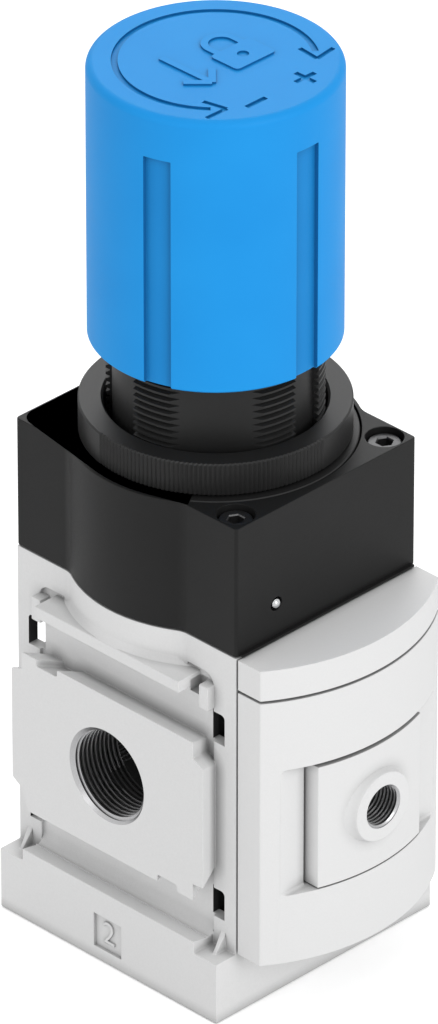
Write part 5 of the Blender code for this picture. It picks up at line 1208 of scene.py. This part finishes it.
cut(crown, add_turned("crown_bore", [(CROWN_BORE, CROWN_LEVELS[0] - PAST), (CROWN_BORE, CROWN_LEVELS[1] + PAST)], sides=96))
gap = add_block("tooth_gap", (CROWN_BORE - PAST, -1.95 * MM, CROWN_LEVELS[0] - PAST), (CROWN_BORE + PAST, 1.95 * MM, CROWN_LEVELS[1] + PAST))
cut(crown, copy_round(gap, LOCK_TEETH))
join(knob, crown)
hex_bore = [(HUB_HEX, HUB_BOTTOM - PAST), (HUB_HEX, KNOB_CEILING - 2.0 * MM)]
cut(knob, add_turned("hub_hex", hex_bore, turn=(0.0, 0.0, math.radians(30.0)), sides=6))

# The marks on the top are sunk: a long arc with an arrow head at each end, a minus and a plus.
MARK_RADIUS = 19.85 * MM
MARK_WIDTH = 1.35 * MM
MARK_DEPTH = 0.5 * MM
MARK_ENDS = (-44.0, 231.0)
ARROW_CLEAR = 9.0
ARROW_ARM = 5.4 * MM
SIGN_RADIUS = 18.9 * MM
SIGN_LENGTH = 5.4 * MM
MINUS_ANGLE = math.radians(249.5)
PLUS_ANGLE = math.radians(292.4)
mark_levels = (knob_high.z - MARK_DEPTH, knob_high.z + PAST)


def add_stroke(name, start, angle, length, width, levels):
    """A straight stroke on the knob's top, from a start point along an angle."""
    stroke = add_block(name, (0.0, -width / 2, levels[0]), (length, width / 2, levels[1]))
    stroke.location = (start[0], start[1], 0.0)
    stroke.rotation_euler.z = angle
    select_only(stroke)
    return settle(name)


def on_top(radius, angle):
    return (radius * math.cos(angle), radius * math.sin(angle))


half_mark = MARK_WIDTH / 2
mark = add_arc(
    "mark_arc",
    (MARK_RADIUS - half_mark, MARK_RADIUS + half_mark),
    mark_levels,
    MARK_ENDS[0] + ARROW_CLEAR,
    MARK_ENDS[1] - ARROW_CLEAR,
    120,
)
cut(knob, mark)
for degrees, way in zip(MARK_ENDS, (-1, 1)):
    tip_angle = math.radians(degrees)
    tip = on_top(MARK_RADIUS, tip_angle)
    back = tip_angle - way * math.pi / 2
    for lean in (-1, 1):
        arm = add_stroke("arrow_arm", tip, back + lean * math.radians(38.0), ARROW_ARM, 1.1 * MM, mark_levels)
        cut(knob, arm)
half_sign = SIGN_LENGTH / 2
for sign_angle, arms in ((MINUS_ANGLE, (0.0,)), (PLUS_ANGLE, (0.0, math.pi / 2))):
    x, y = on_top(SIGN_RADIUS, sign_angle)
    for angle in arms:
        start = (x - half_sign * math.cos(angle), y - half_sign * math.sin(angle))
        cut(knob, add_stroke("sign", start, angle, SIGN_LENGTH, 1.2 * MM, mark_levels))

# In the middle stand a raised arrow and padlock, for pushing the knob down to lock it.
RAISE = 0.4 * MM
raised = (knob_high.z - 0.3 * MM, knob_high.z + RAISE)
STROKE = 1.5 * MM
ARROW_X = -7.4 * MM
arrow_tip = (ARROW_X, -6.4 * MM)
join(knob, add_stroke("push_shaft", (ARROW_X, -5.6 * MM), math.pi / 2, 13.2 * MM, STROKE, raised))
for lean in (-1, 1):
    join(knob, add_stroke("push_head", arrow_tip, math.pi / 2 + lean * math.radians(45.0), 5.6 * MM, STROKE, raised))
LOCK_X = 5.0 * MM
lock_body = add_block("lock_body", (LOCK_X - 5.4 * MM, -6.4 * MM, raised[0]), (LOCK_X + 5.4 * MM, 1.2 * MM, raised[1]))
blend_edges(lock_body, 0.9 * MM, 3, lambda middle, way: abs(way.z) > 0.9)
join(knob, lock_body)
shackle = add_arc("shackle", (2.6 * MM, 4.1 * MM), raised, 0.0, 180.0, 24)
shackle.location = (LOCK_X, 3.4 * MM, 0.0)
select_only(shackle)
join(knob, settle("shackle"))
for x in (LOCK_X - 4.1 * MM, LOCK_X + 2.6 * MM):
    join(knob, add_block("shackle_leg", (x, 0.8 * MM, raised[0]), (x + 1.5 * MM, 3.5 * MM, raised[1])))
keyhole = [(1.2 * MM, knob_high.z + 0.02 * MM), (1.2 * MM, knob_high.z + PAST)]
cut(knob, add_turned("keyhole", keyhole, (LOCK_X, -2.6 * MM, 0.0), sides=32))
smooth(knob, 40.0)

# The blue plastic is moulded satin, with an even fine grain and the slight change of depth that pigment has
# over a large face. Its colour is darkened in inner corners as painted shade. The walls of the sunk and raised
# marks and of the grip grooves are rougher, and their darker blue is painted shade.
blue = bpy.data.materials.new("moulded_blue_abs")
blue.use_nodes = True
tree = blue.node_tree
shader = tree.nodes["Principled BSDF"]
place = add_node(tree, "ShaderNodeTexCoord").outputs["Object"]
grain = add_node(tree, "ShaderNodeTexNoise", None, {"Vector": place, "Scale": 1 / (0.35 * MM), "Detail": 2.0})
cloud = add_node(tree, "ShaderNodeTexNoise", None, {"Vector": place, "Scale": 1 / (14.0 * MM), "Detail": 1.0})
tone = add_node(
    tree,
    "ShaderNodeMix",
    {"data_type": "RGBA"},
    {"Factor": cloud.outputs["Fac"], 6: srgb("#158cd8"), 7: srgb("#1b93de")},
)
tree.links.new(shade_creases(tree, tone.outputs[2], 2.5 * MM, 0.3), shader.inputs["Base Color"])
gloss = add_node(
    tree, "ShaderNodeMapRange", None, {"Value": grain.outputs["Fac"], "To Min": 0.46, "To Max": 0.56}
)
tree.links.new(gloss.outputs[0], shader.inputs["Roughness"])
shader.inputs["Specular IOR Level"].default_value = 0.14
relief = add_node(
    tree, "ShaderNodeBump", None, {"Strength": 0.25, "Distance": 0.01 * MM, "Height": grain.outputs["Fac"]}
)
tree.links.new(relief.outputs[0], shader.inputs["Normal"])
wall_shade_blue = bpy.data.materials.new("wall_painted_shade_blue")
wall_shade_blue.use_nodes = True
tree = wall_shade_blue.node_tree
shader = tree.nodes["Principled BSDF"]
place = add_node(tree, "ShaderNodeTexCoord").outputs["Object"]
grain = add_node(tree, "ShaderNodeTexNoise", None, {"Vector": place, "Scale": 1 / (0.2 * MM), "Detail": 2.0})
tone = add_node(
    tree,
    "ShaderNodeMix",
    {"data_type": "RGBA"},
    {"Factor": grain.outputs["Fac"], 6: srgb("#0f5f97"), 7: srgb("#136aa6")},
)
tree.links.new(tone.outputs[2], shader.inputs["Base Color"])
shader.inputs["Roughness"].default_value = 0.7
shader.inputs["Specular IOR Level"].default_value = 0.1


def mark_wall(middle, normal):
    high = middle.z > knob_high.z - MARK_DEPTH
    return high and abs(normal.z) < 0.2 and math.hypot(middle.x, middle.y) < KNOB_RADIUS - KNOB_EDGE


def groove_wall(middle, normal):
    off_axis = math.hypot(middle.x, middle.y)
    outward = abs(normal.x * middle.x + normal.y * middle.y) / off_axis if off_axis > 0 else 1.0
    deep = KNOB_RADIUS - GROOVE_DEPTH - 0.05 * MM < off_axis < KNOB_RADIUS - 0.05 * MM
    return deep and outward < 0.6 and knob_low.z + PAST < middle.z < GROOVE_TOP + 0.1 * MM


def groove_floor(middle, normal):
    off_axis = math.hypot(middle.x, middle.y)
    sunk = KNOB_RADIUS - GROOVE_DEPTH - 0.1 * MM < off_axis < KNOB_RADIUS - 0.7 * GROOVE_DEPTH
    outward = (normal.x * middle.x + normal.y * middle.y) / off_axis if off_axis > 0 else 0.0
    return sunk and outward > 0.9 and knob_low.z + PAST < middle.z < GROOVE_TOP


# The floors of the grip grooves get a slightly deeper blue, which is painted shade for the recess.
floor_shade_blue = blue.copy()
floor_shade_blue.name = "groove_floor_painted_shade_blue"
for node in floor_shade_blue.node_tree.nodes:
    if node.type == "MIX" and node.blend_type == "MIX":
        node.inputs[6].default_value = srgb("#127fc6")
        node.inputs[7].default_value = srgb("#1786cd")
knob.data.materials.clear()
for material in (blue, wall_shade_blue, floor_shade_blue):
    knob.data.materials.append(material)
for number, test in ((2, groove_floor), (1, groove_wall), (1, mark_wall)):
    pick(knob, "FACE", test)
    knob.active_material_index = number
    bpy.ops.object.material_slot_assign()
    bpy.ops.object.mode_set(mode="OBJECT")
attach(knob, "knob_group")
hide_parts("knob")


# Inner metal pieces
# The spindle, its nut, the springs, plates and valve parts keep their CAD shapes, and get the finish of the
# metal that each is made of.


def add_metal(name, dark, light, rough, scale):
    """A bare metal whose tone and gloss vary at the given scale."""
    metal = bpy.data.materials.new(name)
    metal.use_nodes = True
    tree = metal.node_tree
    shader = tree.nodes["Principled BSDF"]
    shader.inputs["Metallic"].default_value = 1.0
    place = add_node(tree, "ShaderNodeTexCoord").outputs["Object"]
    streak = add_node(tree, "ShaderNodeTexNoise", None, {"Vector": place, "Scale": 1 / scale, "Detail": 2.0})
    tone = add_node(
        tree,
        "ShaderNodeMix",
        {"data_type": "RGBA"},
        {"Factor": streak.outputs["Fac"], 6: srgb(dark), 7: srgb(light)},
    )
    tree.links.new(tone.outputs[2], shader.inputs["Base Color"])
    gloss = add_node(
        tree, "ShaderNodeMapRange", None, {"Value": streak.outputs["Fac"], "To Min": rough - 0.05, "To Max": rough + 0.08}
    )
    tree.links.new(gloss.outputs[0], shader.inputs["Roughness"])
    return metal


def dress(names, material):
    """Give CAD nodes a finish, in the material slots that they have."""
    for name in names:
        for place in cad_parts[name].material_slots:
            place.material = material


dress(("spindle", "spring_nut"), add_metal("zinc_plated_steel", "#9b9c9a", "#b3b4b1", 0.34, 0.8 * MM))
spring_steel = add_metal("oiled_spring_steel", "#6a6b6e", "#85868a", 0.3, 1.2 * MM)
dress(("snap_ring", "spindle_circlip"), spring_steel)
dress(
    ("valve_seat", "relief_seat", "thrust_washer", "valve_stem", "valve_poppet", "plate_nut"),
    add_metal("turned_brass", "#b9934a", "#d0aa5e", 0.26, 0.6 * MM),
)
dress(
    ("lower_plate", "spring_plate", "baffle_plate", "bottom_plug"),
    add_metal("turned_aluminium", "#a9aaac", "#c2c3c5", 0.36, 0.5 * MM),
)


def add_spring(node, name):
    """The CAD's wire as one smooth surface."""
    wire = bpy.data.objects.new(name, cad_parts[node].data.copy())
    bpy.context.scene.collection.objects.link(wire)
    select_only(wire)
    bpy.ops.object.mode_set(mode="EDIT")
    bpy.ops.mesh.select_all(action="SELECT")
    bpy.ops.mesh.remove_doubles(threshold=0.002 * MM)
    bpy.ops.mesh.normals_make_consistent(inside=False)
    bpy.ops.object.mode_set(mode="OBJECT")
    bpy.ops.object.shade_smooth_by_angle(angle=math.radians(50.0))
    wire.data.materials.clear()
    wire.data.materials.append(spring_steel)
    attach(wire, "regulator_body")
    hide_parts(node)
    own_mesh(wire)


add_spring("range_spring", "range_spring_wire")
add_spring("valve_spring", "valve_spring_wire")


# Seals and lock ring
# The diaphragm, the valve's disc and the O-rings are moulded in black nitrile rubber, which is dull and
# slightly dusty. The lock ring on the bonnet is acetal, like the ring nut.
rubber = bpy.data.materials.new("moulded_nitrile_rubber")
rubber.use_nodes = True
tree = rubber.node_tree
shader = tree.nodes["Principled BSDF"]
place = add_node(tree, "ShaderNodeTexCoord").outputs["Object"]
dust = add_node(tree, "ShaderNodeTexNoise", None, {"Vector": place, "Scale": 1 / (1.5 * MM), "Detail": 4.0})
tone = add_node(
    tree,
    "ShaderNodeMix",
    {"data_type": "RGBA"},
    {"Factor": dust.outputs["Fac"], 6: srgb("#171717"), 7: srgb("#242424")},
)
tree.links.new(tone.outputs[2], shader.inputs["Base Color"])
shader.inputs["Roughness"].default_value = 0.78
shader.inputs["Specular IOR Level"].default_value = 0.3
dress(("main_diaphragm", "valve_disc", "poppet_ring", "plug_ring", "adapter_ring"), rubber)
dress(("lock_ring",), acetal)
